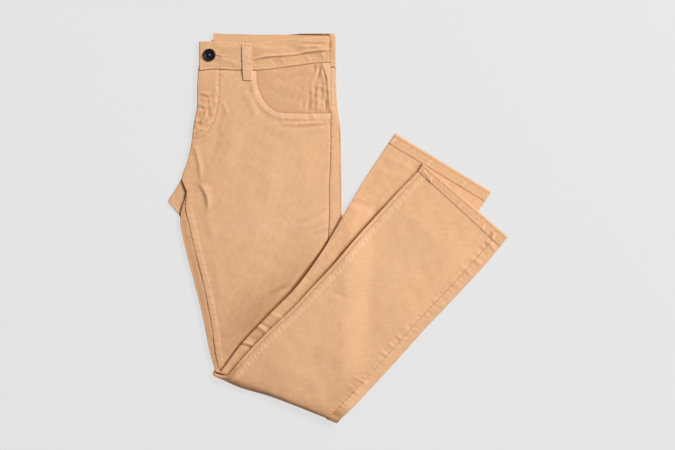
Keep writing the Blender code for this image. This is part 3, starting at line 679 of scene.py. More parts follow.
# Creases: from x and y to x and y, bend, width to the left and to the right, rise
FRONT_CREASES = (
    (-230.0, 132.0, -218.0, 76.0, 2.0, 6.0, 3.0, 1.5),
    (-221.0, 70.0, -207.0, 28.0, 5.0, 9.0, 2.8, 2.6),
    (-207.0, 28.0, -196.0, -30.0, -2.0, 9.0, 6.0, 0.7),
    (-160.0, 160.0, -182.0, 84.0, 4.0, 16.0, 12.0, 1.1),
    (-176.0, 200.0, -202.0, 108.0, 3.0, 10.0, 9.0, -0.9),
    (-62.0, 0.0, -16.0, 24.0, -2.0, 5.0, 9.0, 1.2),
    (-40.0, -12.0, -12.0, -2.0, 1.0, 3.0, 6.0, -0.6),
    (-185.0, 203.0, -176.0, 180.0, 1.5, 3.5, 2.6, 0.8),
    (-176.0, 180.0, -186.0, 150.0, -2.0, 5.0, 4.0, 0.6),
    (-146.0, 216.0, -128.0, 172.0, 3.0, 9.0, 5.0, 0.8),
    (-90.0, 167.0, -14.0, 171.0, -1.5, 3.0, 3.5, 1.1),
    (-62.0, 155.0, -14.0, 160.0, 1.0, 3.0, 5.0, 0.5),
    (-50.0, 184.0, -45.5, 171.0, 0.5, 1.5, 1.5, -0.8),
    (-46.0, 184.0, -41.0, 171.5, 0.5, 1.7, 1.4, -0.7),
    (-42.0, 182.0, -36.0, 172.0, 0.5, 2.0, 1.6, 0.5),
    (-110.0, 160.0, -60.0, 158.0, -2.0, 6.0, 8.0, 0.5),
    (-56.0, 130.0, -50.0, 40.0, 4.0, 12.0, 9.0, 0.6),
    (-96.0, 120.0, -104.0, 20.0, -5.0, 16.0, 12.0, 0.7),
    (-150.0, 60.0, -120.0, -40.0, 6.0, 18.0, 14.0, 0.6),
    (-200.0, -40.0, -186.0, -130.0, 3.0, 10.0, 8.0, 0.6),
    (-112.0, -108.0, -78.0, -92.0, 1.0, 5.0, 5.0, -0.9),
    (-170.0, -160.0, -100.0, -110.0, -4.0, 8.0, 12.0, 0.6),
    (-190.0, -195.0, -150.0, -170.0, 2.0, 6.0, 6.0, 0.5),
)
FLY_WRINKLES = (
    (-222.0, 212.0, -207.0, 208.0, 0.8, 2.0, 1.5, -0.9),
    (-222.0, 216.5, -208.0, 213.0, 0.8, 2.5, 2.0, 0.6),
    (-207.0, 210.0, -204.5, 196.0, -0.8, 1.6, 2.0, -0.8),
    (-226.0, 194.0, -211.0, 187.5, 0.8, 2.0, 1.6, -0.8),
    (-225.0, 198.5, -210.0, 192.0, 0.8, 2.4, 2.0, 0.7),
    (-204.0, 190.0, -210.0, 174.0, 0.8, 1.8, 1.8, -0.8),
    (-209.0, 186.0, -217.0, 168.0, 0.8, 2.6, 2.2, 0.8),
    (-231.0, 166.5, -219.0, 167.5, 0.5, 1.6, 1.8, -0.9),
    (-231.0, 171.5, -219.0, 172.0, 0.5, 2.2, 2.0, 0.6),
    (-224.0, 159.0, -212.0, 154.0, 0.8, 2.0, 2.0, 0.6),
    (-229.0, 178.0, -219.0, 174.0, -0.5, 2.0, 1.6, 0.5),
    (-196.0, 235.0, -194.5, 214.0, 0.5, 2.5, 1.8, 0.5),
)

FLY_RISE, FLY_GROOVE, FLY_WRINKLED = 0.45, 0.40, 0.75
FLY_RIPPLE = Ripple(0.45, 6.0, 5, 4.0, 3.0)
MOUTH_RIPPLE = Ripple(0.40, 4.4, 6, 2.6, 7.5)
MOUTH_PULL = Ripple(0.30, 9.0, 9, 5.0, 12.0)
SIDE_RIPPLE = Ripple(0.30, 9.0, 7, 6.0)
INSEAM_RIPPLE = Ripple(0.25, 13.0, 18, 16.0)
WAIST_RIPPLE = Ripple(0.28, 8.0, 19, 6.0)
FRONT_UNEVEN = ((0.10, 30, 2), (0.035, 11, 3))
FRONT_SWELL = (0.55, 110, 1)
FLY_UNEVEN = (0.24, 12.5, 55)
# Tones: middle x and y, length, width, turn, tone. The first is painted shade on the lower thigh beside the
# left shin.
FRONT_TONES = (
    (-118.0, -148.0, 92.0, 42.0, 0.85, -0.47),
    (-105.0, 0.0, 90.0, 30.0, 0.0, 0.13),
    (-110.0, 90.0, 70.0, 40.0, 0.0, 0.06),
    (-214.0, 190.0, 40.0, 16.0, 1.45, -0.12),
    (-214.0, 80.0, 30.0, 12.0, 1.45, -0.10),
    (-189.0, 150.0, 45.0, 9.0, 1.30, -0.10),
    (-52.0, 164.5, 34.0, 3.5, 0.03, -0.16),
)
COVERED_X, COVERED_Y, COVERED_SLOPE = -194.9, -226.2, 0.78
SNAP_REACH = 6.0

# Felled seam: its rise, the groove at its edge, its ticks' rise, middle and seed, and how pale
# the ticks and the strip are and how dark the groove
Fell = namedtuple("Fell", "rise groove ticks middle seed pale_ticks pale dark")
FELL_WIDTH = 12.5
THIGH_FELL = Fell(0.45, 0.45, 0.50, 8.0, 8, 0.35, 0.16, 0.15)
SHIN_FELL = Fell(0.50, 0.35, 0.75, 8.5, 34, 0.38, 0.18, 0.12)


def felled(run_down, from_inseam, fell):
    """Relief and tone of the inside-leg seam: a raised strip, a groove at its edge, and slanting
    ticks where its stitches pull the layers together."""
    ticks = pucker(run_down + 0.7 * from_inseam, 5.4, fell.seed) * bell(from_inseam, 2.8, fell.middle)
    relief = fell.rise * ease(FELL_WIDTH - from_inseam, 0, 3.0) - fell.groove * fading(from_inseam, 1.0)
    tone = fell.pale_ticks * np.clip(ticks, 0, 1) + fell.pale * bell(from_inseam, 3.5, fell.middle)
    return relief + fell.ticks * ticks, tone - fell.dark * fading(from_inseam, 0.8)


run = front_run(thigh, LEG_ROUND, (6, 120))
front, front_faces = skin(thigh, run, LEG_ROUND)
front = to_waist_seam(front, front_faces, True)
x, y = front[..., 0], front[..., 1]
run_down = walk(front)
from_side = run[:, -1:] - run
from_inseam = run - run[:, :1]
mouth_apart, mouth_foot, mouth_run = near_curve(x, y, mouth)
in_pocket = in_mouth(x, y)
fly_apart, _, _ = near_curve(x, y, FLY_LINE)
in_fly = (x <= np.interp(-y, -FLY_LINE[:, 1], FLY_LINE[:, 0])) & (y > FLY_LINE[-1, 1])
shin_apart, _, _ = near_curve(x, y, LEFT_SHIN_EDGE)
below_crotch = ease(60.0 - y, 0, 40)
above_j = ease(y, 140.0, 146.0)
edge = np.where(in_pocket, 0, ease(EDGE_BAND + 1.0 - mouth_apart, 0, 1.8))
fell_relief, fell_tone = felled(run_down, from_inseam, THIGH_FELL)

relief = creases(x, y, FRONT_CREASES) + FLY_WRINKLED * creases(x, y, FLY_WRINKLES)
relief += uneven(x, y, FRONT_UNEVEN)
relief += FLY_RISE * in_fly * ease(fly_apart, 0, 2.0) - FLY_GROOVE * above_j * bell(fly_apart, 1.5)
relief += above_j * rippled(y + 0.5 * x, fly_apart, FLY_RIPPLE)
relief += in_fly * ease(fly_apart, 0, 5) * ease(228 - y, 0, 20) * uneven(x, y, (FLY_UNEVEN,))
relief += edge * (EDGE_RISE - EDGE_SINK * bell(mouth_apart, 1.0))
relief += ~in_pocket * rippled(mouth_run, mouth_apart, MOUTH_RIPPLE)
relief += ~in_pocket * rippled(mouth_run + 0.4 * y, mouth_apart, MOUTH_PULL)
relief += rippled(run_down, from_side, SIDE_RIPPLE) - 0.8 * fading(from_side, 1.0)
relief += rippled(run_down, from_inseam, INSEAM_RIPPLE) + below_crotch * fell_relief
relief += rippled(x, run_down, WAIST_RIPPLE) - 0.6 * fading(run_down, 1.3)
relief -= 0.9 * bell(shin_apart, 3.5)

lift = relief + uneven(x, y, (FRONT_SWELL,))
covered = ease(COVERED_SLOPE * (x - COVERED_X) - (y - COVERED_Y), -14, 6)
lift = (1 - covered) * lift + covered * np.clip(lift, -0.4, 0.1)
front = front + (np.clip(front_faces[..., 2], 0, 1) * lift)[..., None] * front_faces
snapped = in_pocket & (mouth_apart < SNAP_REACH)
front[snapped, :2] = mouth_foot[snapped]
front[snapped, 2] = THIGH_Z + LEG_ROUND + EDGE_RISE - EDGE_SINK

# Painted shade: the first tone, and a painted shadow along the left shin's edge, darkest near its middle.
wear_and_painted_light = wear_and_hollow_shade_of(relief, 0.70) + tones(x, y, FRONT_TONES) + below_crotch * fell_tone + 0.12 * edge
wear_and_painted_light -= 1.5 * (0.55 + 0.45 * bell(x, 75, -40)) * bell(shin_apart, 3.0)
wear_and_painted_light -= 0.4 * fading(from_side, 0.8) + 0.10 * ease(y, 60, 100) * bell(from_inseam, 9.0)
front_left = shell(
    "front_left_cloth", front, front_faces, wear_and_painted_light, cloth_uv(front, run), twill, keep=~in_pocket)
dress("front_left")

# Left thigh back
# The left back panel wraps both edges of the thigh: a strip of it shows outside each seam.
BACK_SIDE_RIPPLE = Ripple(0.45, 7.0, 7, 5.0)
BACK_INSEAM_RIPPLE = Ripple(0.35, 8.0, 8, 6.0)
BACK_UNEVEN = ((0.20, 60, 11), (0.08, 17, 12))
FACING_HELD = 0.75
BACK_STRIP_SHADE = 0.13

run = back_run(thigh, LEG_ROUND, (18, 10, 14, 10, 10))
back, back_faces = skin(thigh, run, LEG_ROUND)
back = to_waist_seam(back, back_faces, False)
x, y = back[..., 0], back[..., 1]
run_down = walk(back)
from_side = run - run[:, :1]
from_inseam = run[:, -1:] - run
beside_pocket = ease(y, 180, 190) * ease(262 - y, 0, 8)
open_seam = 1 - FACING_HELD * beside_pocket
lift = uneven(x, y, BACK_UNEVEN) - 0.8 * open_seam * fading(from_side, 1.0)
lift += rippled(run_down, from_side, BACK_SIDE_RIPPLE)
lift += rippled(run_down, from_inseam, BACK_INSEAM_RIPPLE) - 0.5 * fading(from_inseam, 1.0)
lift -= 0.6 * fading(run_down, 1.3) + 1.2 * ease(from_inseam, 0, 14) + 0.8 * ease(from_side, 4, 20)
back = back + (np.clip(back_faces[..., 2], 0, 1) * lift)[..., None] * back_faces
wear_and_painted_light = wear_and_hollow_shade_of(lift, 0.5) - 0.4 * open_seam * fading(from_side, 0.8) - 0.15 * fading(from_inseam, 0.8)
wear_and_painted_light += 0.22 * beside_pocket * ease(-x, -4, 9) * ease(x, -14, -11)
# Painted shade on the strip along the left edge, the side turned away from the lamp.
wear_and_painted_light -= BACK_STRIP_SHADE * ease(-x, 150, 170)
back_left = shell("back_left_cloth", back, back_faces, wear_and_painted_light, cloth_uv(back, run), twill)
dress("back_left")

# Left shin
# The left leg below the knee fold lies under the right one with its back upwards. Its strip
# and its hem show along the upper left.
LEFT_SHIN = (
    Section(-186.3, -229.6, -1.2, -302.0, 8.0, 18.0),
    Section(-156.0, -188.9, 25.1, -263.7, 8.0, 18.0),
    Section(-105.1, -134.8, 63.9, -207.3, 9.0, 18.0),
    Section(-74.4, -104.2, 86.5, -174.5, 10.0, 18.0),
    Section(-25.4, -39.0, 128.8, -112.9, 11.0, 18.0),
    Section(8.0, 17.5, 163.1, -63.0, 12.0, 18.0),
    Section(38.1, 69.0, 194.2, -17.9, 13.0, 18.0),
    Section(81.0, 134.6, 236.1, 40.6, 14.0, 18.0),
)
LEFT_HEM_EDGE = Section(92.3, 151.0, 246.2, 57.6, 14.0, 18.0)
LEFT_TURN = 2.25
AXIS = THIGH[-1]
AXIS_LEFT = np.array([AXIS.left_x, AXIS.left_y, KNEE_Z])
AXIS_RIGHT = np.array([AXIS.right_x, AXIS.right_y, KNEE_Z])
ALONG = (AXIS_RIGHT - AXIS_LEFT) / np.linalg.norm(AXIS_RIGHT - AXIS_LEFT)
OUTWARD = np.array([ALONG[1], -ALONG[0], 0.0])
CORNER_HELD = 0.35
THIGH_DROP = THIGH_Z + LEG_ROUND + 0.5
DRAPE_START, DRAPE_END = 3.0, 55.0
SHIN_DROP = 2 * LEG_ROUND + 0.8
CROSS_START, CROSS_END = 2.0, 32.0
CROSS_LEAN = 0.826


def fold_rows(shin_top, turn, front_side, count):
    """Rows round the knee fold: half a circle of radius turn about the fold's axis. Its ends stay
    at the thigh's corners at first, then move to the shin's by a smooth step."""
    angle = np.linspace(np.pi, 0, count, endpoint=False)[:, None]
    done = (np.pi - angle) / np.pi
    aside = ease(done, CORNER_HELD, 1.0)
    radial = np.sin(angle) * OUTWARD + np.cos(angle) * UP
    start = np.array([shin_top.left_x, shin_top.left_y, KNEE_Z])
    stop = np.array([shin_top.right_x, shin_top.right_y, KNEE_Z])
    return Rows(
        AXIS_LEFT + aside * (start - AXIS_LEFT) + turn * radial,
        AXIS_RIGHT + aside * (stop - AXIS_RIGHT) + turn * radial,
        front_side * radial,
        AXIS.inseam_in + done * (shin_top.inseam_in - AXIS.inseam_in),
        AXIS.outseam_in + done * (shin_top.outseam_in - AXIS.outseam_in),
    )


def joined(first, second):
    """Two sets of rows, one after the other."""
    return Rows(*(np.vstack(pair) for pair in zip(first, second)))


def right_edge_x(sections, y):
    """Where a leg's right edge is at y."""
    known = np.array(sections)
    order = np.argsort(known[:, 3])
    return np.interp(y, known[order, 3], known[order, 2])


def draped(points, crosses):
    """Lets a shin down past the edges that hold it up: the thigh's, and for the right shin
    (crosses) the left shin's. The drop is a smooth step of the distance past each edge."""
    past_thigh = points[..., 0] - right_edge_x(THIGH, points[..., 1])
    drop = THIGH_DROP * ease(past_thigh, DRAPE_START, DRAPE_END)
    if crosses:
        left_shin_x = right_edge_x(LEFT_SHIN + (LEFT_HEM_EDGE,), points[..., 1])
        past_shin = CROSS_LEAN * (points[..., 0] - left_shin_x)
        drop = drop + SHIN_DROP * ease(past_shin, CROSS_START, CROSS_END)
    lowered = points.copy()
    lowered[..., 2] -= drop
    return lowered


SHIN_ROWS, LEFT_FOLD_ROWS = 330, 12
left_leg = joined(
    fold_rows(LEFT_SHIN[0], LEFT_TURN, -1, LEFT_FOLD_ROWS),
    level_rows(smooth_table(LEFT_SHIN, SHIN_ROWS), KNEE_Z + LEFT_TURN, -UP),
)
BACK_SHIN_CREASES = (
    (-160.0, -186.0, -134.0, -193.0, 0.5, 1.6, 1.8, -1.2),
    (-158.0, -180.0, -134.0, -188.0, 0.5, 2.6, 3.0, 1.1),
    (-150.0, -170.0, -126.0, -180.0, 0.5, 3.0, 3.0, -0.7),
    (-134.0, -154.0, -106.0, -172.0, 1.0, 3.2, 3.4, 1.3),
    (-128.0, -150.0, -102.0, -164.0, 0.5, 2.0, 2.2, -0.9),
    (-112.0, -132.0, -84.0, -146.0, -1.0, 3.0, 4.0, 0.8),
    (-92.0, -112.0, -64.0, -124.0, 1.0, 3.0, 4.0, -0.5),
    (-60.0, -82.0, -36.0, -96.0, 1.0, 4.0, 6.0, 0.5),
    (8.0, 36.0, 60.0, 16.0, 3.0, 6.0, 8.0, 0.7),
    (14.0, 44.0, 52.0, 34.0, 2.0, 3.0, 4.0, -0.5),
    (60.0, 92.0, 110.0, 78.0, 2.0, 6.0, 8.0, 0.6),
    (76.0, 118.0, 150.0, 80.0, -2.0, 5.0, 7.0, 0.5),
)
RIGHT_SHIN_EDGE = np.array([
    (-174.0, -234.3), (-148.6, -204.2), (-111.2, -165.5), (-74.4, -130.8), (-39.7, -94.0),
    (-7.0, -59.3), (26.4, -20.2), (61.3, 18.5), (104.5, 65.4), (128.2, 89.5), (136.0, 102.4),
])
BACK_SHIN_UNEVEN = ((0.12, 22, 23), (0.04, 9, 24))
BACK_SHIN_SWELL = (0.35, 80, 22)
LEFT_SHIN_TONES = (
    (30.0, 40.0, 70.0, 16.0, 0.95, -0.14),
    (-135.0, -172.0, 40.0, 22.0, 0.85, -0.18),
)
Curl = namedtuple("Curl", "x before after rise")
LEFT_CURL = Curl(-40.0, 80.0, 75.0, 2.6)
RIGHT_CURL = Curl(20.0, 60.0, 60.0, 3.4)
CURL_REACH = 14.0


def curled(points, left, curl):
    """Lifts a shin's left edge off what it lies on, most at one place down the leg."""
    from_left = np.linalg.norm((points - left[:, None, :])[..., :2], axis=-1)
    edge_x = left[:, None, 0]
    width = np.where(edge_x < curl.x, curl.before, curl.after)
    lifted = points.copy()
    lifted[..., 2] += curl.rise * bell(edge_x, width, curl.x) * fading(from_left, CURL_REACH)
    return lifted


def shin_panel(node, rows, run, lift_of, crosses):
    """One panel of a shin: the tube's skin, raised by lift_of, then let down on what is below."""
    points, faces = skin(rows, run, LEG_ROUND)
    if crosses:
        points = bulged(points)
    lift, wear_and_painted_light = lift_of(points, faces, run)
    points = draped(points + lift[..., None] * faces, crosses)
    points = curled(points, rows.left, RIGHT_CURL if crosses else LEFT_CURL)
    piece = shell(node + "_cloth", points, faces, wear_and_painted_light, cloth_uv(points, run), twill)
    dress(node)
    return piece


def left_front_lift(points, faces, run):
    """Slight unevenness of the shin's front, which lies face down."""
    lift = 0.05 * field(points[..., 0], points[..., 1], 40, 21)
    return lift, 0 * lift


def left_back_lift(points, faces, run):
    """Creases of the shin's back where it shows, and a painted shadow along the right shin's edge."""
    x, y = points[..., 0], points[..., 1]
    way = LEFT_SHIN_EDGE[-1] - LEFT_SHIN_EDGE[1]
    way = way / np.linalg.norm(way)
    from_edge = way[0] * (y - LEFT_SHIN_EDGE[1, 1]) - way[1] * (x - LEFT_SHIN_EDGE[1, 0])
    shown = 0.25 + 0.75 * ease(from_edge, -80, -30)
    relief = creases(x, y, BACK_SHIN_CREASES) + uneven(x, y, BACK_SHIN_UNEVEN)
    lift = np.clip(relief + uneven(x, y, (BACK_SHIN_SWELL,)), -1.0, 2.0)
    apart, _, _ = near_curve(x, y, RIGHT_SHIN_EDGE)
    shadow = 1.5 * (0.40 + 0.65 * bell(x, 55, 25)) * bell(apart, 3.4)
    wear_and_painted_light = wear_and_hollow_shade_of(relief, 0.55) + tones(x, y, LEFT_SHIN_TONES) - shadow
    return np.clip(faces[..., 2], 0, 1) * lift * shown, wear_and_painted_light


run = front_run(left_leg, LEG_ROUND, (3, 16))
shin_panel("front_left_lower", left_leg, run, left_front_lift, False)
run = back_run(left_leg, LEG_ROUND, (6, 8, 64, 10, 6))
shin_panel("back_left_lower", left_leg, run, left_back_lift, False)

# Right shin
# The right leg below the knee lies on top with its front upwards: the felled inside-leg seam
# runs beside its left edge, and the side seam beside its right edge.
RIGHT_SHIN = (
    Section(-174.0, -234.3, 4.1, -306.9, 6.0, 17.5),
    Section(-148.6, -204.2, 28.4, -284.1, 6.0, 17.5),
    Section(-111.2, -165.5, 59.8, -251.5, 6.0, 17.5),
    Section(-74.4, -130.8, 89.2, -219.9, 6.0, 17.5),
    Section(-39.7, -94.0, 118.0, -187.8, 6.0, 17.5),
    Section(-7.0, -59.3, 145.1, -157.7, 6.0, 17.5),
    Section(26.4, -20.2, 175.2, -126.5, 6.0, 17.5),
    Section(61.3, 18.5, 205.4, -94.1, 6.0, 17.5),
    Section(104.5, 65.4, 241.9, -54.2, 6.0, 17.5),
    Section(128.2, 89.5, 260.3, -31.8, 6.0, 17.5),
)
RIGHT_HEM_EDGE = Section(136.0, 102.4, 273.4, -14.9, 6.0, 17.5)
RIGHT_TURN = 7.05
KNEE_BULGE, BULGE_AT, BULGE_SPREAD = 5.8, 0.21, 0.2
RIGHT_FOLD_ROWS = 24


def bulged(points):
    """Pushes the knee fold outwards near its left end, by a bell curve along the fold."""
    from_left = (points - AXIS_LEFT) @ ALONG / np.linalg.norm(AXIS_RIGHT - AXIS_LEFT)
    out = np.clip((points - AXIS_LEFT) @ OUTWARD, 0, None) / (RIGHT_TURN + LEG_ROUND)
    push = KNEE_BULGE * np.exp(-(((from_left - BULGE_AT) / BULGE_SPREAD) ** 2)) * np.minimum(out, 1)
    return points + push[..., None] * OUTWARD


right_leg = joined(
    fold_rows(RIGHT_SHIN[0], RIGHT_TURN, 1, RIGHT_FOLD_ROWS),
    level_rows(smooth_table(RIGHT_SHIN, SHIN_ROWS), KNEE_Z + RIGHT_TURN, UP),
)
RIGHT_SHIN_CREASES = (
    (-120.0, -215.0, -20.0, -252.0, 4.0, 12.0, 16.0, 0.8),
    (-60.0, -165.0, 20.0, -215.0, -5.0, 14.0, 18.0, 0.6),
    (-14.0, -100.0, 16.0, -114.0, 1.0, 5.0, 6.0, -0.8),
    (60.0, -60.0, 150.0, -100.0, 5.0, 14.0, 16.0, 0.6),
    (120.0, 20.0, 190.0, -45.0, -4.0, 12.0, 12.0, 0.6),
    (79.0, -184.0, 92.0, -193.0, 0.8, 4.0, 3.0, 0.7),
    (93.0, -171.0, 104.0, -183.0, 0.8, 4.2, 3.0, 0.8),
    (104.0, -160.0, 117.0, -173.0, 0.8, 4.2, 3.2, 0.7),
    (66.0, -196.0, 80.0, -206.0, 0.8, 3.0, 2.4, 0.6),
    (26.0, -238.0, 50.0, -254.0, 1.0, 3.0, 2.6, 0.9),
    (14.0, -250.0, 34.0, -266.0, 1.0, 3.4, 2.6, 0.7),
    (237.0, -19.0, 253.0, -38.0, 0.8, 4.0, 2.8, 1.5),
    (224.0, -30.0, 240.0, -46.0, 0.8, 3.4, 3.0, -0.6),
    (214.0, -48.0, 232.0, -60.0, 1.0, 3.0, 4.0, 1.0),
    (196.0, -60.0, 216.0, -78.0, 1.0, 3.0, 4.0, 0.8),
    (180.0, -80.0, 200.0, -98.0, -1.0, 4.0, 4.0, 0.7),
    (150.0, -112.0, 172.0, -128.0, 1.0, 4.0, 4.0, 0.6),
)
# The fold is pressed flatter past its top, and painted shade darkens the cloth there.
FOLD_FLATTEN, FOLD_SPREAD, FOLD_SHADE = 2.7, 17.0, 0.46
# Tones as on the front; the last two are painted shade near the knee fold.
RIGHT_TONES = (
    (40.0, -100.0, 120.0, 45.0, 0.75, 0.06),
    (225.0, -5.0, 40.0, 30.0, 0.75, -0.08),
    (130.0, 60.0, 40.0, 16.0, 0.85, -0.10),
    (24.0, -262.0, 36.0, 24.0, 0.75, -0.26),
    (-30.0, -290.0, 30.0, 12.0, -0.44, -0.20),
)


RIGHT_UNEVEN = ((0.11, 28, 32), (0.035, 10, 33))
RIGHT_SWELL = (0.55, 105, 31)
RIGHT_BACK_UNEVEN = ((0.16, 50, 41), (0.07, 16, 42))
OUTSEAM_RIPPLE = Ripple(0.55, 10.5, 35, 8.0)
RIGHT_INSEAM_RIPPLE = Ripple(0.25, 13.0, 38, 16.0)
RIGHT_BACK_INSEAM_RIPPLE = Ripple(0.25, 13.0, 38, 5.0)
FOLD_SHADE_REACH = 15.0


def fold_sunk(run_down):
    """How far the top of the fold is pressed down, and how much painted shade darkens the cloth just past
    it.
    """
    fold_length = np.pi * RIGHT_TURN
    past = np.maximum(run_down - fold_length, 0)
    turn = np.clip(run_down / fold_length, 0, 1) * np.pi
    sunk = FOLD_FLATTEN * np.clip(-np.cos(turn), 0, 1) * fading(past, FOLD_SPREAD)
    return sunk, FOLD_SHADE * bell(past, FOLD_SHADE_REACH)


def right_front_lift(points, faces, run):
    """Creases of the shin's front, its felled seam, and puckers along the side seam."""
    x, y = points[..., 0], points[..., 1]
    run_down = walk(points)
    from_inseam, from_side = run - run[:, :1], run[:, -1:] - run
    sunk, fold_shade = fold_sunk(run_down)
    fell_relief, fell_tone = felled(run_down, from_inseam, SHIN_FELL)
    relief = creases(x, y, RIGHT_SHIN_CREASES) + uneven(x, y, RIGHT_UNEVEN) + fell_relief
    relief += rippled(run_down, from_inseam, RIGHT_INSEAM_RIPPLE)
    relief += rippled(run_down, from_side, OUTSEAM_RIPPLE) - 0.45 * fading(from_side, 1.0)
    lift = (relief + uneven(x, y, (RIGHT_SWELL,))) * ease(run_down, 2, 30) - sunk
    return lift, wear_and_hollow_shade_of(relief, 0.55) + fell_tone + tones(x, y, RIGHT_TONES) - fold_shade


def right_back_lift(points, faces, run):
    """The same creases on the back panel, which shows as a strip outside each seam."""
    x, y = points[..., 0], points[..., 1]
    run_down = walk(points)
    top_side = np.clip(faces[..., 2], 0, 1)
    from_side, from_inseam = run - run[:, :1], run[:, -1:] - run
    sunk, fold_shade = fold_sunk(run_down)
    lift = uneven(x, y, RIGHT_BACK_UNEVEN) + creases(x, y, RIGHT_SHIN_CREASES)
    lift += rippled(run_down, from_side, OUTSEAM_RIPPLE) - 0.45 * fading(from_side, 1.0)
    lift += rippled(run_down, from_inseam, RIGHT_BACK_INSEAM_RIPPLE) - 0.35 * fading(from_inseam, 1.0)
    lift = top_side * (lift - sunk * ease(from_side, 30, 12))
    return lift, wear_and_hollow_shade_of(lift, 0.55) - fold_shade * top_side


run = front_run(right_leg, LEG_ROUND, (6, 112))
right_front = shin_panel("front_right_lower", right_leg, run, right_front_lift, True)
run = back_run(right_leg, LEG_ROUND, (20, 10, 14, 10, 8))
shin_panel("back_right_lower", right_leg, run, right_back_lift, True)

# Hems
# Each leg ends in a turned-up hem of three layers with one row of stitching: a ring all round.
HEM_RISE = 0.25
HEM_CREASES = (
    (136.0, 92.0, 150.0, 74.0, 0.5, 2.5, 2.0, 0.9),
    (152.0, 84.0, 146.0, 68.0, 0.5, 2.0, 2.0, 0.7),
    (236.0, 4.0, 226.0, -12.0, 0.8, 2.6, 2.4, 1.0),
    (246.0, -6.0, 240.0, -20.0, 0.8, 2.4, 2.4, -0.8),
    (252.0, -8.0, 246.0, -24.0, 0.8, 2.6, 2.4, 1.1),
    (200.0, 38.0, 186.0, 28.0, 0.5, 3.0, 3.0, 0.6),
    (92.0, 142.0, 84.0, 134.0, 0.5, 2.0, 2.0, 0.9),
    (150.0, 108.0, 140.0, 98.0, 0.5, 3.0, 3.0, 0.6),
    (206.0, 74.0, 198.0, 64.0, 0.5, 3.0, 3.0, 0.6),
)
HEM_CLOTH = 1.6
HEM_ROWS = 16
HEM_ROPE, HEM_ROPE_LENGTH, HEM_ROPE_LONG = 0.24, 8.0, 15.0


def whole_run(rows, radius, counts, finer=None):
    """Columns all the way round a flattened tube, from its left edge over the top and back."""
    width = flat_width(rows, radius)
    half_turn = np.pi * radius
    breaks = (0 * width, width, width + half_turn, 2 * width + half_turn, 2 * (width + half_turn))
    return stretches(breaks, counts, finer)[:, :-1]


def hem(node, seam, edge, z, crosses, seed, tone):
    """A ring round the leg's end, from the hem's seam to its edge, roped by its stitching."""
    rows = level_rows(smooth_table(np.array([seam, edge]), HEM_ROWS), z + HEM_RISE, UP)
    radius = LEG_ROUND + HEM_RISE
    run = whole_run(rows, radius, (120, 14, 60, 14))
    points, faces = skin(rows, run, radius)
    down = walk(points)
    depth = down[-1]
    rope = pucker(run + 0.9 * down, HEM_ROPE_LENGTH, seed)
    rope += 0.6 * pucker(run - 0.5 * down, HEM_ROPE_LONG, seed + 4)
    lift = HEM_ROPE * rope * bell(down, 0.45 * depth, 0.6 * depth)
    lift += creases(points[..., 0], points[..., 1], HEM_CREASES)
    lift += 0.45 * bell(down, 1.8, 0.90 * depth) - 0.25 * bell(down, 1.2, 0.75 * depth)
    lift -= 1.0 * fading(down, 1.0) + 0.5 * fading(depth - down, 1.0)
    lift *= np.clip(faces[..., 2], 0, 1)
    points = draped(points + lift[..., None] * faces, crosses)
    points = curled(points, rows.left, RIGHT_CURL if crosses else LEFT_CURL)
    wear_and_painted_light = wear_and_hollow_shade_of(lift, 0.7) - 0.5 * fading(down, 0.9) + tone
    uv = cloth_uv(points, run)
    piece = shell(node + "_cloth", points, faces, wear_and_painted_light, uv, twill, ring=True, cloth=HEM_CLOTH)
    dress(node)
    return piece


hem_left = hem("hem_left", LEFT_SHIN[-1], LEFT_HEM_EDGE, KNEE_Z + LEFT_TURN, False, 51, -0.07)
hem_right = hem("hem_right", RIGHT_SHIN[-1], RIGHT_HEM_EDGE, KNEE_Z + RIGHT_TURN, True, 52, -0.12)

# Right half beneath
# The right thigh and seat lie under the left half. Only their edges show: the crotch's tip at
# the left, a line along the right side, and the top of the waistband.
Edge = namedtuple("Edge", "left_x left_y right_x right_y")
HIDDEN = (
    Edge(-219.8, 296.6, -4.6, 310.9),
    Edge(-221.4, 275.0, -4.4, 284.0),
    Edge(-223.0, 251.8, -4.0, 257.0),
    Edge(-224.3, 219.8, -3.4, 223.0),
    Edge(-224.1, 195.8, -2.1, 197.4),
    Edge(-229.9, 164.7, 2.5, 163.8),
    Edge(-234.0, 131.8, 3.8, 128.6),
    Edge(-241.0, 102.3, 4.3, 95.0),
    Edge(-252.5, 75.0, 4.6, 66.2),
    Edge(-264.5, 55.0, 4.8, 49.0),
    Edge(-271.8, 42.2, 5.0, 36.0),
    Edge(-264.2, 31.0, 5.2, 22.0),
    Edge(-252.4, 14.5, 5.4, 4.0),
    Edge(-247.0, -20.2, 4.3, -55.4),
    Edge(-228.2, -93.8, 1.9, -135.4),
    Edge(-215.4, -146.6, -0.2, -199.4),
    Edge(-202.8, -207.4, -2.4, -273.0),
    Edge(-197.0, -226.2, 1.2, -304.5),
)
HIDDEN_BAND_TOP = np.array([
    (-220.0, 295.6), (-202.0, 296.4), (-197.0, 303.6), (-156.0, 304.0), (-100.0, 308.0),
    (-60.0, 310.8), (-4.6, 310.9),
])
HIDDEN_BAND_FOOT, HIDDEN_BAND_HEAD = 262.0, 296.0
BAND_ROWS, ROWS_EACH = 30, 8
HIDDEN_UNEVEN = ((0.25, 30, 81), (0.10, 9, 82))
# The slit between the band's two layers, sunk and darkened by painted shade: from x and to x, from y and to
# y, depth
SLIT_LEFT, SLIT_RIGHT, SLIT_LOW, SLIT_HIGH, SLIT_DEPTH = -112.0, -12.0, 304.4, 310.4, 3.0

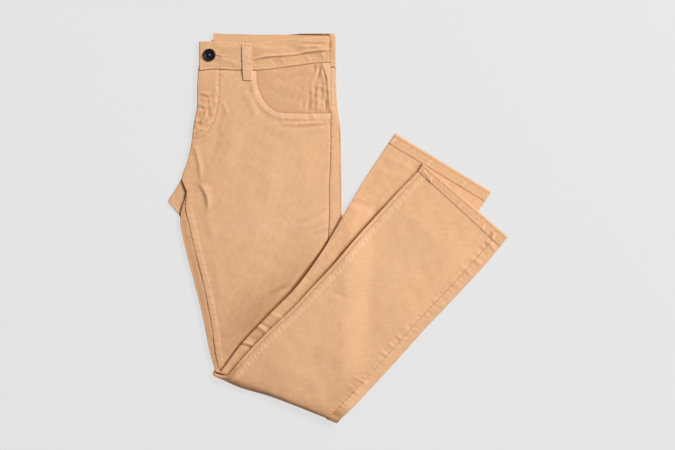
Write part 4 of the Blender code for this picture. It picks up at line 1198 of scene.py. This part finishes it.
number = np.arange(len(HIDDEN))
legs = np.linspace(1, number[-1], ROWS_EACH * (len(HIDDEN) - 2) + 1)
places = np.concatenate([np.linspace(0, 1, BAND_ROWS, endpoint=False), legs])
table = through(number, np.array(HIDDEN), places)
table = np.hstack([table, np.zeros((len(table), 2))])
rows = level_rows(table, LEG_ROUND, UP)
run = whole_run(rows, LEG_ROUND, (56, 8, 12, 8), (0.9, 0, 0.5, 0))
points, faces = skin(rows, run, LEG_ROUND)
top_side = np.clip(faces[..., 2], 0, 1)
top = HIDDEN[0]
slope = (top.right_y - top.left_y) / (top.right_x - top.left_x)
x, y = points[..., 0], points[..., 1]
rise = np.interp(x, *HIDDEN_BAND_TOP.T) - (top.left_y + (x - top.left_x) * slope)
y = y + rise * ease(y, HIDDEN_BAND_FOOT, HIDDEN_BAND_HEAD)
slit = ease(x, SLIT_LEFT, SLIT_LEFT + 14) * ease(SLIT_RIGHT - x, 0, 6)
slit = slit * ease(y, SLIT_LOW - 1.2, SLIT_LOW) * ease(SLIT_HIGH - y, -0.8, 0.4)
points[..., 1] = y
points[..., 2] += top_side * (uneven(x, y, HIDDEN_UNEVEN) - SLIT_DEPTH * slit)
tip_apart, _, _ = near_curve(x, y, np.array(THIGH)[:, 0:2])
# Painted shade: dark in the slit, and in a thin line beside the thigh's edge at the crotch's tip.
wear_and_painted_light = -0.95 * slit - 0.8 * bell(tip_apart, 2.6) * (y > -10) * (y < 100)
hidden = shell("right_half_cloth", points, faces, wear_and_painted_light, cloth_uv(points, run), twill, ring=True)
dress("hidden_layers")

# Waistband
# A straight band of two layers, about 43 mm deep. The front run buttons at the left, and the
# back run's inner face shows above it and comes round the right edge to the side seam.
BAND_ROUND = 2.4
BAND_Z = 7.2
BAND_END_X = -11.5
BAND_CREASES = (
    (-138.0, 269.0, -98.0, 275.5, 1.0, 3.6, 1.6, 2.0),
    (-106.0, 274.5, -58.0, 278.5, -0.5, 3.6, 1.6, 2.0),
    (-66.0, 278.5, -12.0, 284.5, 1.2, 4.0, 1.8, 2.3),
    (-128.0, 285.0, -80.0, 288.0, 1.0, 4.0, 4.0, 0.8),
    (-62.0, 294.5, -22.0, 294.0, 0.5, 2.2, 2.2, -1.2),
    (-60.0, 289.4, -22.0, 289.8, 0.5, 2.4, 2.4, 1.3),
    (-120.0, 264.0, -60.0, 268.0, -1.0, 3.0, 3.0, -0.6),
    (-110.0, 268.0, -100.0, 259.0, 0.5, 2.0, 2.0, 0.5),
    (-92.0, 271.0, -84.0, 262.0, 0.5, 2.0, 2.0, 0.5),
    (-52.0, 277.0, -44.0, 266.0, 0.5, 2.4, 2.4, 0.7),
    (-26.0, 280.0, -20.0, 268.0, 0.5, 2.4, 2.4, 0.7),
    (-190.0, 269.0, -160.0, 262.0, 1.5, 3.5, 4.0, 0.8),
    (-196.0, 289.0, -162.0, 291.0, -1.0, 4.0, 5.0, 0.7),
    (-192.0, 280.0, -170.0, 279.0, 0.5, 3.0, 3.0, -0.5),
    (-214.0, 262.0, -190.0, 260.0, 0.5, 3.0, 3.0, 0.5),
)
# Tones as on the front: two broad darker patches, then thin lines of painted shade in the troughs of the
# creases and at the front run's end.
BAND_TONES = (
    (-50.0, 285.0, 60.0, 26.0, 0.0, -0.12),
    (-150.0, 275.0, 50.0, 24.0, 0.0, -0.08),
    (-118.0, 270.4, 17.0, 1.1, 0.16, -0.30),
    (-84.0, 274.4, 22.0, 1.1, 0.08, -0.35),
    (-38.0, 279.8, 22.0, 1.2, 0.11, -0.40),
    (-12.5, 292.0, 9.0, 1.3, 1.57, -0.60),
    (-10.0, 293.0, 8.0, 1.2, 1.57, -0.50),
)


BAND_LEFT_X, BAND_RIGHT_X = -222.0, -2.6
BAND_UP_ROWS = 52
BAND_CLOTH = 1.5
BAND_SEWN_LOW, BAND_SEWN_HIGH = 4.6, 3.4


def band(node, run_of, seed, flat, rests_on, is_front):
    """A run of the band: the flattened tube's skin, its rows going up from edge to edge."""
    sections = np.array([Section(BAND_LEFT_X, 0.0, BAND_RIGHT_X, 0.0, INSEAM_AT_WAIST, 0.0)] * BAND_UP_ROWS)
    rows = level_rows(sections, BAND_Z, UP)
    run = run_of(rows)
    points, faces = skin(rows, run, BAND_ROUND)
    low, high = run_edges(points[..., 0], faces, is_front)
    points[..., 1] = low + np.linspace(0, 1, BAND_UP_ROWS)[:, None] * (high - low)
    x, y = points[..., 0], points[..., 1]
    from_low, from_high = y - low, high - y
    lift = creases(x, y, BAND_CREASES) + uneven(x, y, ((0.30, 38, seed), (0.09, 14, seed + 1)))
    lift -= 0.8 * fading(from_low, 1.2) + 0.8 * fading(from_high, 1.0)
    lift -= 0.28 * (bell(from_low, 1.1, BAND_SEWN_LOW) + bell(from_high, 1.1, BAND_SEWN_HIGH))
    lift += 0.32 * pucker(x, 6.5, seed + 2) * (bell(from_low, 5.0) + bell(from_high, 5.0))
    lift *= np.clip(faces[..., 2], 0, 1)
    points = points + lift[..., None] * faces
    uv = np.stack([run + 0 * y, y - low], axis=-1)
    wear_and_painted_light = wear_and_hollow_shade_of(lift, 0.6) - 0.35 * fading(from_low, 0.8) + tones(x, y, BAND_TONES)
    piece = shell(node + "_cloth", points, faces, wear_and_painted_light, uv, twill, cloth=BAND_CLOTH)
    dress(node)
    return piece


def front_band_run(rows):
    """Columns of the front run, from its left edge's turn to its end at the side."""
    stop = BAND_END_X - rows.left[:, 0:1] - BAND_ROUND - SEAM_GAP / 2
    return stretches((rows.inseam_in, 0 * stop, stop), (8, 150))


def back_band_run(rows):
    """Columns of the back run, from the side, round the right edge and back to its left end."""
    flat = flat_width(rows, BAND_ROUND)
    start = BAND_END_X - rows.left[:, 0:1] - BAND_ROUND + SEAM_GAP / 2
    right_turn = flat + np.pi * BAND_ROUND
    stop = right_turn + (rows.right[:, 0:1] - BAND_ROUND - BACK_BAND_LEFT_X)
    return stretches((start, flat, right_turn, stop), (8, 10, 120))


waistband = band("waistband_front", front_band_run, 61, (0.213, 0.044), ["front_left_cloth"], True)
band("waistband_back", back_band_run, 65, (0.206, 0.045), ["back_left_cloth"], False)

# Pocket facing
# A piece of the same twill behind the pocket's mouth, wrinkled where the pocket bag pulls it.
FACING_WRINKLES = (
    (-35.7, 261.0, -36.9, 246.0, 0.4, 1.8, 2.2, -0.9),
    (-27.5, 260.0, -31.3, 237.0, 0.8, 2.0, 2.4, -1.0),
    (-31.1, 259.0, -37.0, 238.0, 0.5, 1.8, 1.8, 0.7),
    (-25.6, 259.0, -20.6, 231.0, -1.2, 1.4, 1.6, 0.6),
    (-33.8, 226.0, -38.0, 207.0, 0.6, 1.8, 2.0, -1.0),
    (-26.2, 225.0, -23.8, 209.0, 0.4, 1.6, 1.8, -0.8),
    (-30.6, 211.0, -33.4, 184.0, 0.8, 3.0, 3.0, 0.8),
    (-44.0, 222.0, -46.6, 182.0, 1.2, 3.0, 3.6, -1.0),
    (-18.8, 205.0, -18.2, 182.0, 0.3, 1.4, 1.6, -1.3),
    (-54.4, 202.0, -55.0, 190.0, 0.4, 2.0, 2.4, -0.5),
    (-52.0, 246.0, -82.0, 235.0, -2.0, 4.0, 5.0, -0.5),
    (-110.0, 232.0, -56.0, 215.0, 4.0, 5.0, 7.0, 0.5),
    (-104.0, 210.0, -50.0, 198.0, -3.0, 4.0, 5.0, 0.4),
    (-120.0, 250.0, -80.0, 244.0, 2.0, 5.0, 5.0, 0.4),
)
STRIP_EDGE = np.array([(-26.4, 266.0), (-25.4, 261.8), (-21.4, 250.0), (-18.4, 240.9), (-16.6, 226.0),
                       (-16.0, 216.0), (-14.8, 200.0), (-13.2, 183.0)])
FACING_CLOTH, FACING_Z = 0.7, 7.7
FACING_UNDER, FACING_RIGHT = 3.0, -11.2
FACING_UNEVEN = ((0.12, 30, 71), (0.04, 12, 72))
FACING_PULLED = (0.20, 14, 73)
STRIP_RISE = 0.9

facing_x = np.linspace(MOUTH_X - FACING_UNDER, FACING_RIGHT, 90)
mouth_low = np.interp(facing_x, mouth_bottom[:, 0], mouth_bottom[:, 1])
mouth_low = np.where(facing_x < MOUTH_X + 1, MOUTH_Y + MOUTH_ROUND_Y - 12, mouth_low) - FACING_UNDER
facing_high = band_edges(FRONT_BAND, facing_x)[0] - 0.4
y = mouth_low + np.linspace(0, 1, 70)[:, None] * (facing_high - mouth_low)
x = np.broadcast_to(facing_x, y.shape)
under_front, _, _ = near_curve(x, y, mouth)
inside = in_mouth(x, y)
clear = inside * ease(under_front, 0, 10)
strip_apart, _, _ = near_curve(x, y, STRIP_EDGE)
past_strip = x > np.interp(-y, -STRIP_EDGE[:, 1], STRIP_EDGE[:, 0])
strip = clear * past_strip * ease(strip_apart, 0, 1.5)
pulled = ease(x, -60, -30) * uneven(x, y, (FACING_PULLED,))
lift = clear * (creases(x, y, FACING_WRINKLES) + pulled + uneven(x, y, FACING_UNEVEN))
lift = lift * (1 - 0.7 * strip) + STRIP_RISE * strip
# Painted shade: the facing darker all over, more so under the mouth's edge and along the strip's edge.
wear_and_painted_light = wear_and_hollow_shade_of(lift, 0.7) - 0.15 - 0.35 * inside * bell(under_front, 2.2)
wear_and_painted_light += 0.48 * strip - 0.55 * inside * bell(strip_apart, 0.9)
points = np.stack([x, y, FACING_Z + 0.3 * clear + lift], axis=-1)
uv = np.stack([x, y], axis=-1)
facing = shell("pocket_facing_cloth", points, np.broadcast_to(UP, points.shape), wear_and_painted_light, uv, twill,
               cloth=FACING_CLOTH)
dress("pocket_facing")

# Belt loop
# A folded strip of twill 15 mm wide, caught down at both ends by bar tacks.
Loop = namedtuple("Loop", "y left right under")
LOOP = (
    Loop(235.3, -151.5, -137.1, 9.8),
    Loop(244.0, -151.8, -137.3, 9.8),
    Loop(250.0, -152.1, -137.5, 9.9),
    Loop(258.0, -152.4, -137.7, 10.3),
    Loop(276.0, -153.2, -138.1, 10.4),
    Loop(287.0, -153.6, -138.3, 10.1),
    Loop(293.7, -153.9, -138.4, 9.9),
)
LOOP_CLOTH, LOOP_SHELL = 1.5, 1.2
LOOP_WIDTH = 14.8
LOOP_RIPPLE = Ripple(0.22, 4.6, 93, 1.6, 1.6)
LOOP_UNEVEN = ((0.12, 9, 91), (0.08, 4.5, 92))

loop_y = np.linspace(LOOP[0].y, LOOP[-1].y, 90)
table = through(np.array(LOOP)[:, 0], np.array(LOOP), loop_y)
share = np.linspace(0, 1, 23)
x = table[:, 1:2] + share * (table[:, 2:3] - table[:, 1:2])
y = np.broadcast_to(loop_y[:, None], x.shape)
to_edge = np.minimum(share, 1 - share) * LOOP_WIDTH
to_end = np.minimum(loop_y - loop_y[0], loop_y[-1] - loop_y)[:, None]
lift = uneven(x, y, LOOP_UNEVEN) + rippled(y, to_edge, LOOP_RIPPLE)
lift -= 0.5 * fading(to_edge, 0.6) + 0.4 * fading(to_end, 0.7)
lift -= 0.30 * bell(to_edge, 0.7, 2.4) + 0.45 * bell(to_end, 1.2, 3.2)
lift += 0.7 * bell(y, 5.0, 250.0) + 0.3 * bell(y, 6.0, 272.0)
points = np.stack([x, y, table[:, 3:4] + LOOP_CLOTH + lift], axis=-1)
wear_and_painted_light = wear_and_hollow_shade_of(lift, 0.8) + 0.30 * bell(to_edge, 1.3) + 0.10
uv = np.stack([x, y], axis=-1)
loop = shell("belt_loop_cloth", points, np.broadcast_to(UP, points.shape), wear_and_painted_light, uv, twill,
             cloth=LOOP_SHELL)
dress("belt_loop")

# Jeans button
# A cast cap on a shank, blackened, with a rolled rim, a dished face and a raised nub. The nub is painted
# pale grey as a highlight, and the rim faintly paler.
BUTTON_X, BUTTON_Y, BUTTON_Z = -205.1, 275.8, 9.9
BUTTON_SPOKES = 72
Turn = namedtuple("Turn", "radius height")
BUTTON_PROFILE = (
    Turn(0.0, 0.0), Turn(3.4, 0.0), Turn(3.4, 0.8), Turn(8.8, 0.8), Turn(9.6, 1.0), Turn(10.0, 1.5),
    Turn(10.0, 2.1), Turn(9.8, 2.7), Turn(9.2, 3.1), Turn(8.5, 3.3), Turn(7.8, 3.25), Turn(7.2, 3.0),
    Turn(6.7, 2.65), Turn(6.0, 2.45), Turn(4.5, 2.35), Turn(3.0, 2.4), Turn(2.4, 2.45), Turn(2.1, 2.7),
    Turn(1.6, 2.95), Turn(0.9, 3.05), Turn(0.0, 3.1),
)
BUTTON_FINISH = {"Metallic": 0.55, "Specular IOR Level": 0.4}
BUTTON_BLACK, BUTTON_HIGHLIGHT_GREY = (0.008, 0.005, 0.007, 1), (0.16, 0.16, 0.17, 1)
BUTTON_ROUGH_FROM, BUTTON_ROUGH_TO = 0.30, 0.52
BUTTON_GRAIN = 1800.0

corners = np.arange(len(BUTTON_PROFILE))
fine = np.linspace(0, corners[-1], 3 * corners[-1] + 1)
radius, height = (np.interp(fine, corners, column)[:, None] for column in zip(*BUTTON_PROFILE))
turn = np.linspace(0, 2 * np.pi, BUTTON_SPOKES, endpoint=False)
ring_x = BUTTON_X + radius * np.cos(turn)
ring_y = BUTTON_Y + radius * np.sin(turn)
rings = np.stack([ring_x, ring_y, np.broadcast_to(BUTTON_Z + height, ring_x.shape)], axis=-1)
index = np.arange(ring_x.size).reshape(ring_x.shape)
after = np.roll(index, -1, axis=1)
quads = np.stack([index[:-1], after[:-1], after[1:], index[1:]], axis=-1).reshape(-1, 4)
mesh = bpy.data.meshes.new("jeans_button")
mesh.from_pydata((rings.reshape(-1, 3) * MM).tolist(), [], quads.tolist())
mesh.validate()
mesh.shade_smooth()
mesh.set_sharp_from_angle(angle=np.radians(SHARP_DEGREES))
# Painted highlight: pale grey on the raised nub, and faintly paler on the rim.
pale_share = np.clip(1.25 - radius / 1.9, 0, 1) * (height > 2) + 0.10 * bell(radius, 1.0, 8.6)
marks = mesh.attributes.new("wear_and_painted_light", "FLOAT", "POINT")
marks.data.foreach_set("value", np.repeat(pale_share, BUTTON_SPOKES).astype(np.float32))
metal, shader = finish_of("black_metal", BUTTON_FINISH)
nodes, links = metal.node_tree.nodes, metal.node_tree.links
painted_glint = nodes.new("ShaderNodeAttribute")
painted_glint.attribute_name = "wear_and_painted_light"
place = nodes.new("ShaderNodeTexCoord")
grain = nodes.new("ShaderNodeTexNoise")
grain.inputs["Scale"].default_value = BUTTON_GRAIN
links.new(place.outputs["Object"], grain.inputs["Vector"])
tint = nodes.new("ShaderNodeMix")
tint.data_type = "RGBA"
tint.inputs["A"].default_value = BUTTON_BLACK
tint.inputs["B"].default_value = BUTTON_HIGHLIGHT_GREY
links.new(painted_glint.outputs["Fac"], tint.inputs["Factor"])
links.new(tint.outputs["Result"], shader.inputs["Base Color"])
matte = nodes.new("ShaderNodeMapRange")
matte.inputs["To Min"].default_value = BUTTON_ROUGH_FROM
matte.inputs["To Max"].default_value = BUTTON_ROUGH_TO
links.new(grain.outputs["Fac"], matte.inputs["Value"])
links.new(matte.outputs["Result"], shader.inputs["Roughness"])
mesh.materials.append(metal)
button = bpy.data.objects.new("jeans_button", mesh)
scene.collection.objects.link(button)
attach(button, "root")
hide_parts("button")

# Stitching
# Tonal thread, in rows of short stitches that sink into the cloth at both ends.
THREAD_FINISH = {"Base Color": (0.80, 0.46, 0.27, 1), "Roughness": 0.62, "Sheen Weight": 0.2}
SLIT_SHADOW_FINISH = {"Base Color": (0.10, 0.035, 0.012, 1), "Roughness": 0.9}
STITCH_SIDES = 6
StitchRing = namedtuple("StitchRing", "share girth rise")
STITCH_SHAPE = np.array([
    StitchRing(0.0, 0.30, -0.45),
    StitchRing(0.14, 0.85, 0.05),
    StitchRing(0.5, 1.0, 0.25),
    StitchRing(0.86, 0.85, 0.05),
    StitchRing(1.0, 0.30, -0.45),
])
STEEPEST = 0.8
RAY_HEIGHT = 0.1
thread = finish_of("tonal_thread", THREAD_FINISH)[0]
slit_shadow = finish_of("slit_shadow", SLIT_SHADOW_FINISH)[0]
scene.view_layers[0].update()
graph = bpy.context.evaluated_depsgraph_get()


def height_on(pieces, spots):
    """Height in millimetres of the highest of the pieces under each spot, by casting rays down."""
    trees = [BVHTree.FromObject(piece, graph) for piece in pieces]
    heights = np.full(len(spots), np.nan)
    for number, (x, y) in enumerate(spots):
        above = Vector((x * MM, y * MM, RAY_HEIGHT))
        hits = [tree.ray_cast(above, Vector((0, 0, -1)))[0] for tree in trees]
        found = [hit.z / MM for hit in hits if hit]
        heights[number] = max(found) if found else np.nan
    return heights


def sew(name, on, rows, length=2.5, gap=0.8, width=0.5, finish=thread):
    """Stitches along rows of points: each a five-ring tube whose two ends dip under the cloth."""
    starts, stops = [], []
    for row in rows:
        row = np.asarray(row, float)
        run = np.concatenate([[0], np.cumsum(np.linalg.norm(np.diff(row, axis=0), axis=1))])
        begin = np.arange(0, run[-1] - length, length + gap)
        for ends, at in ((starts, begin), (stops, begin + length)):
            ends.append(np.stack([np.interp(at, run, row[:, 0]), np.interp(at, run, row[:, 1])], axis=1))
    start, stop = np.concatenate(starts), np.concatenate(stops)
    z = height_on(on, np.concatenate([start, stop]))
    start = np.hstack([start, z[: len(start), None]])
    stop = np.hstack([stop, z[len(start):, None]])
    climb = abs(start[:, 2] - stop[:, 2])
    sound = ~np.isnan(climb) & (climb < STEEPEST * length)
    start, stop = start[sound], stop[sound]
    way = (stop - start) / np.linalg.norm(stop - start, axis=1, keepdims=True)
    side = np.cross(UP, way)
    side /= np.linalg.norm(side, axis=1, keepdims=True)
    over = np.cross(way, side)
    turn = np.linspace(0, 2 * np.pi, STITCH_SIDES, endpoint=False)
    share, girth, rise = (STITCH_SHAPE[:, k][None, :, None, None] for k in (0, 1, 2))
    side, over = side[:, None, None], over[:, None, None]
    middle = start[:, None, None] + share * (stop - start)[:, None, None] + rise * width * over
    round_it = np.cos(turn)[:, None] * side + np.sin(turn)[:, None] * over
    points = middle + 0.5 * width * girth * round_it
    count, rings = len(start), len(STITCH_SHAPE)
    index = np.arange(count * rings * STITCH_SIDES).reshape(count, rings, STITCH_SIDES)
    after = np.roll(index, -1, axis=2)
    faces = np.stack([index[:, :-1], after[:, :-1], after[:, 1:], index[:, 1:]], -1).reshape(-1, 4).tolist()
    faces += index[:, 0, ::-1].tolist() + index[:, -1].tolist()
    mesh = bpy.data.meshes.new(name)
    mesh.from_pydata((points.reshape(-1, 3) * MM).tolist(), [], faces)
    mesh.materials.append(finish)
    mesh.shade_smooth()
    piece = bpy.data.objects.new(name, mesh)
    scene.collection.objects.link(piece)
    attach(piece, "root")
    return piece


def beside(line, offset):
    """A line moved sideways: to the left of its direction where offset is above zero."""
    line = np.asarray(line, float)
    way = np.gradient(line, axis=0)
    way /= np.linalg.norm(way, axis=1, keepdims=True)
    return line + offset * np.stack([-way[:, 1], way[:, 0]], axis=1)


def eased_line(line, count=80):
    """The line's points joined by a smooth curve, at even distances."""
    line = np.asarray(line, float)
    run = np.concatenate([[0], np.cumsum(np.linalg.norm(np.diff(line, axis=0), axis=1))])
    return through(run, line, np.linspace(0, run[-1], count))


def inseam_line(rows):
    """Points down a leg's inside-leg seam, at its distance in from the left edge."""
    across = rows.right - rows.left
    across = across / np.linalg.norm(across, axis=1, keepdims=True)
    return (rows.left + across * rows.inseam_in)[:, :2]


band_x = np.linspace(-218.5, -13.5, 120)
band_low, band_high = band_edges(FRONT_BAND, band_x)
sew("waistband_stitches", [waistband], [
    np.stack([band_x, band_low + 4.4], axis=1),
    np.stack([band_x, band_high - 3.2], axis=1),
    [(-219.0, 256.5), (-219.0, 294.0)],
])
fly_line = eased_line(FLY_LINE)
sew("fly_stitches", [front_left], [beside(fly_line, -1.8), beside(fly_line[:70], -5.6)])
mouth_line = mouth[:-12]
sew("pocket_stitches", [front_left], [beside(mouth_line, -1.9), beside(mouth_line, -7.6)])
inseam = inseam_line(thigh)[thigh_sections[:, 1] < 30]
sew("thigh_inseam_stitches", [front_left], [beside(inseam, 1.8), beside(inseam, 8.0)])
inseam = inseam_line(level_rows(smooth_table(RIGHT_SHIN, 120), KNEE_Z, UP))
sew("shin_inseam_stitches", [right_front], [beside(inseam, -1.8), beside(inseam, -8.5)])
for name, ring, seam, edge in (
    ("hem_left", hem_left, LEFT_SHIN[-1], LEFT_HEM_EDGE),
    ("hem_right", hem_right, RIGHT_SHIN[-1], RIGHT_HEM_EDGE),
):
    inner = np.linspace(seam[0:2], seam[2:4], 60)
    outer = np.linspace(edge[0:2], edge[2:4], 60)
    sew(name + "_stitches", [ring], [inner + share * (outer - inner) for share in (0.14, 0.72)])
rise_line = eased_line([(-221.0, 150.0), (-226.5, 140.0), (-231.5, 128.0), (-237.0, 106.0), (-243.0, 84.0)])
sew("rise_stitches", [front_left], [rise_line, beside(rise_line, 5.0)])
loop_rows = [[(-149.4, 238.5), (-151.4, 290.5)], [(-139.6, 238.5), (-140.9, 290.5)]]
sew("loop_stitches", [loop], loop_rows, length=2.2)

# Bar tacks: four rows of close zigzag stitches, two at each end of the loop
Tack = namedtuple("Tack", "y left right")
TACKS = (
    Tack(237.2, -150.4, -138.2),
    Tack(239.0, -150.4, -138.2),
    Tack(288.8, -152.6, -139.4),
    Tack(290.6, -152.6, -139.4),
)
TACK_STEP, TACK_HALF, TACK_LEAN = 0.75, 0.9, 0.35
zigzag = []
for tack in TACKS:
    for tack_x in np.arange(tack.left, tack.right, TACK_STEP):
        zigzag.append([(tack_x, tack.y - TACK_HALF), (tack_x + TACK_LEAN, tack.y + TACK_HALF)])
sew("loop_bar_tacks", [loop], zigzag, length=1.7, gap=0.0, width=0.55)

# Buttonhole: its slit a dark stitch of painted shade, with satin stitches along both sides and fanned round
# its right end
HOLE_START, HOLE_STOP = np.array((-195.0, 275.3)), np.array((-184.4, 273.7))
hole = np.linspace(HOLE_START, HOLE_STOP, 30)
satin = []
for aside in (-1, 1):
    satin += [[a, b] for a, b in zip(beside(hole, aside * 0.35), beside(hole, aside * 1.9))]
for bow in np.radians(np.arange(-100, 101, 20)):
    out = np.array((np.cos(bow), np.sin(bow)))
    satin.append([HOLE_STOP + 0.5 * out, HOLE_STOP + 2.1 * out])
sew("buttonhole_stitches", [waistband], satin, length=1.5, gap=0.0, width=0.5)
slit_line = [HOLE_START, HOLE_STOP + (0.6, -0.1)]
sew("buttonhole_slit_shadow", [waistband], [slit_line], length=10.6, gap=0.0, width=0.9, finish=slit_shadow)
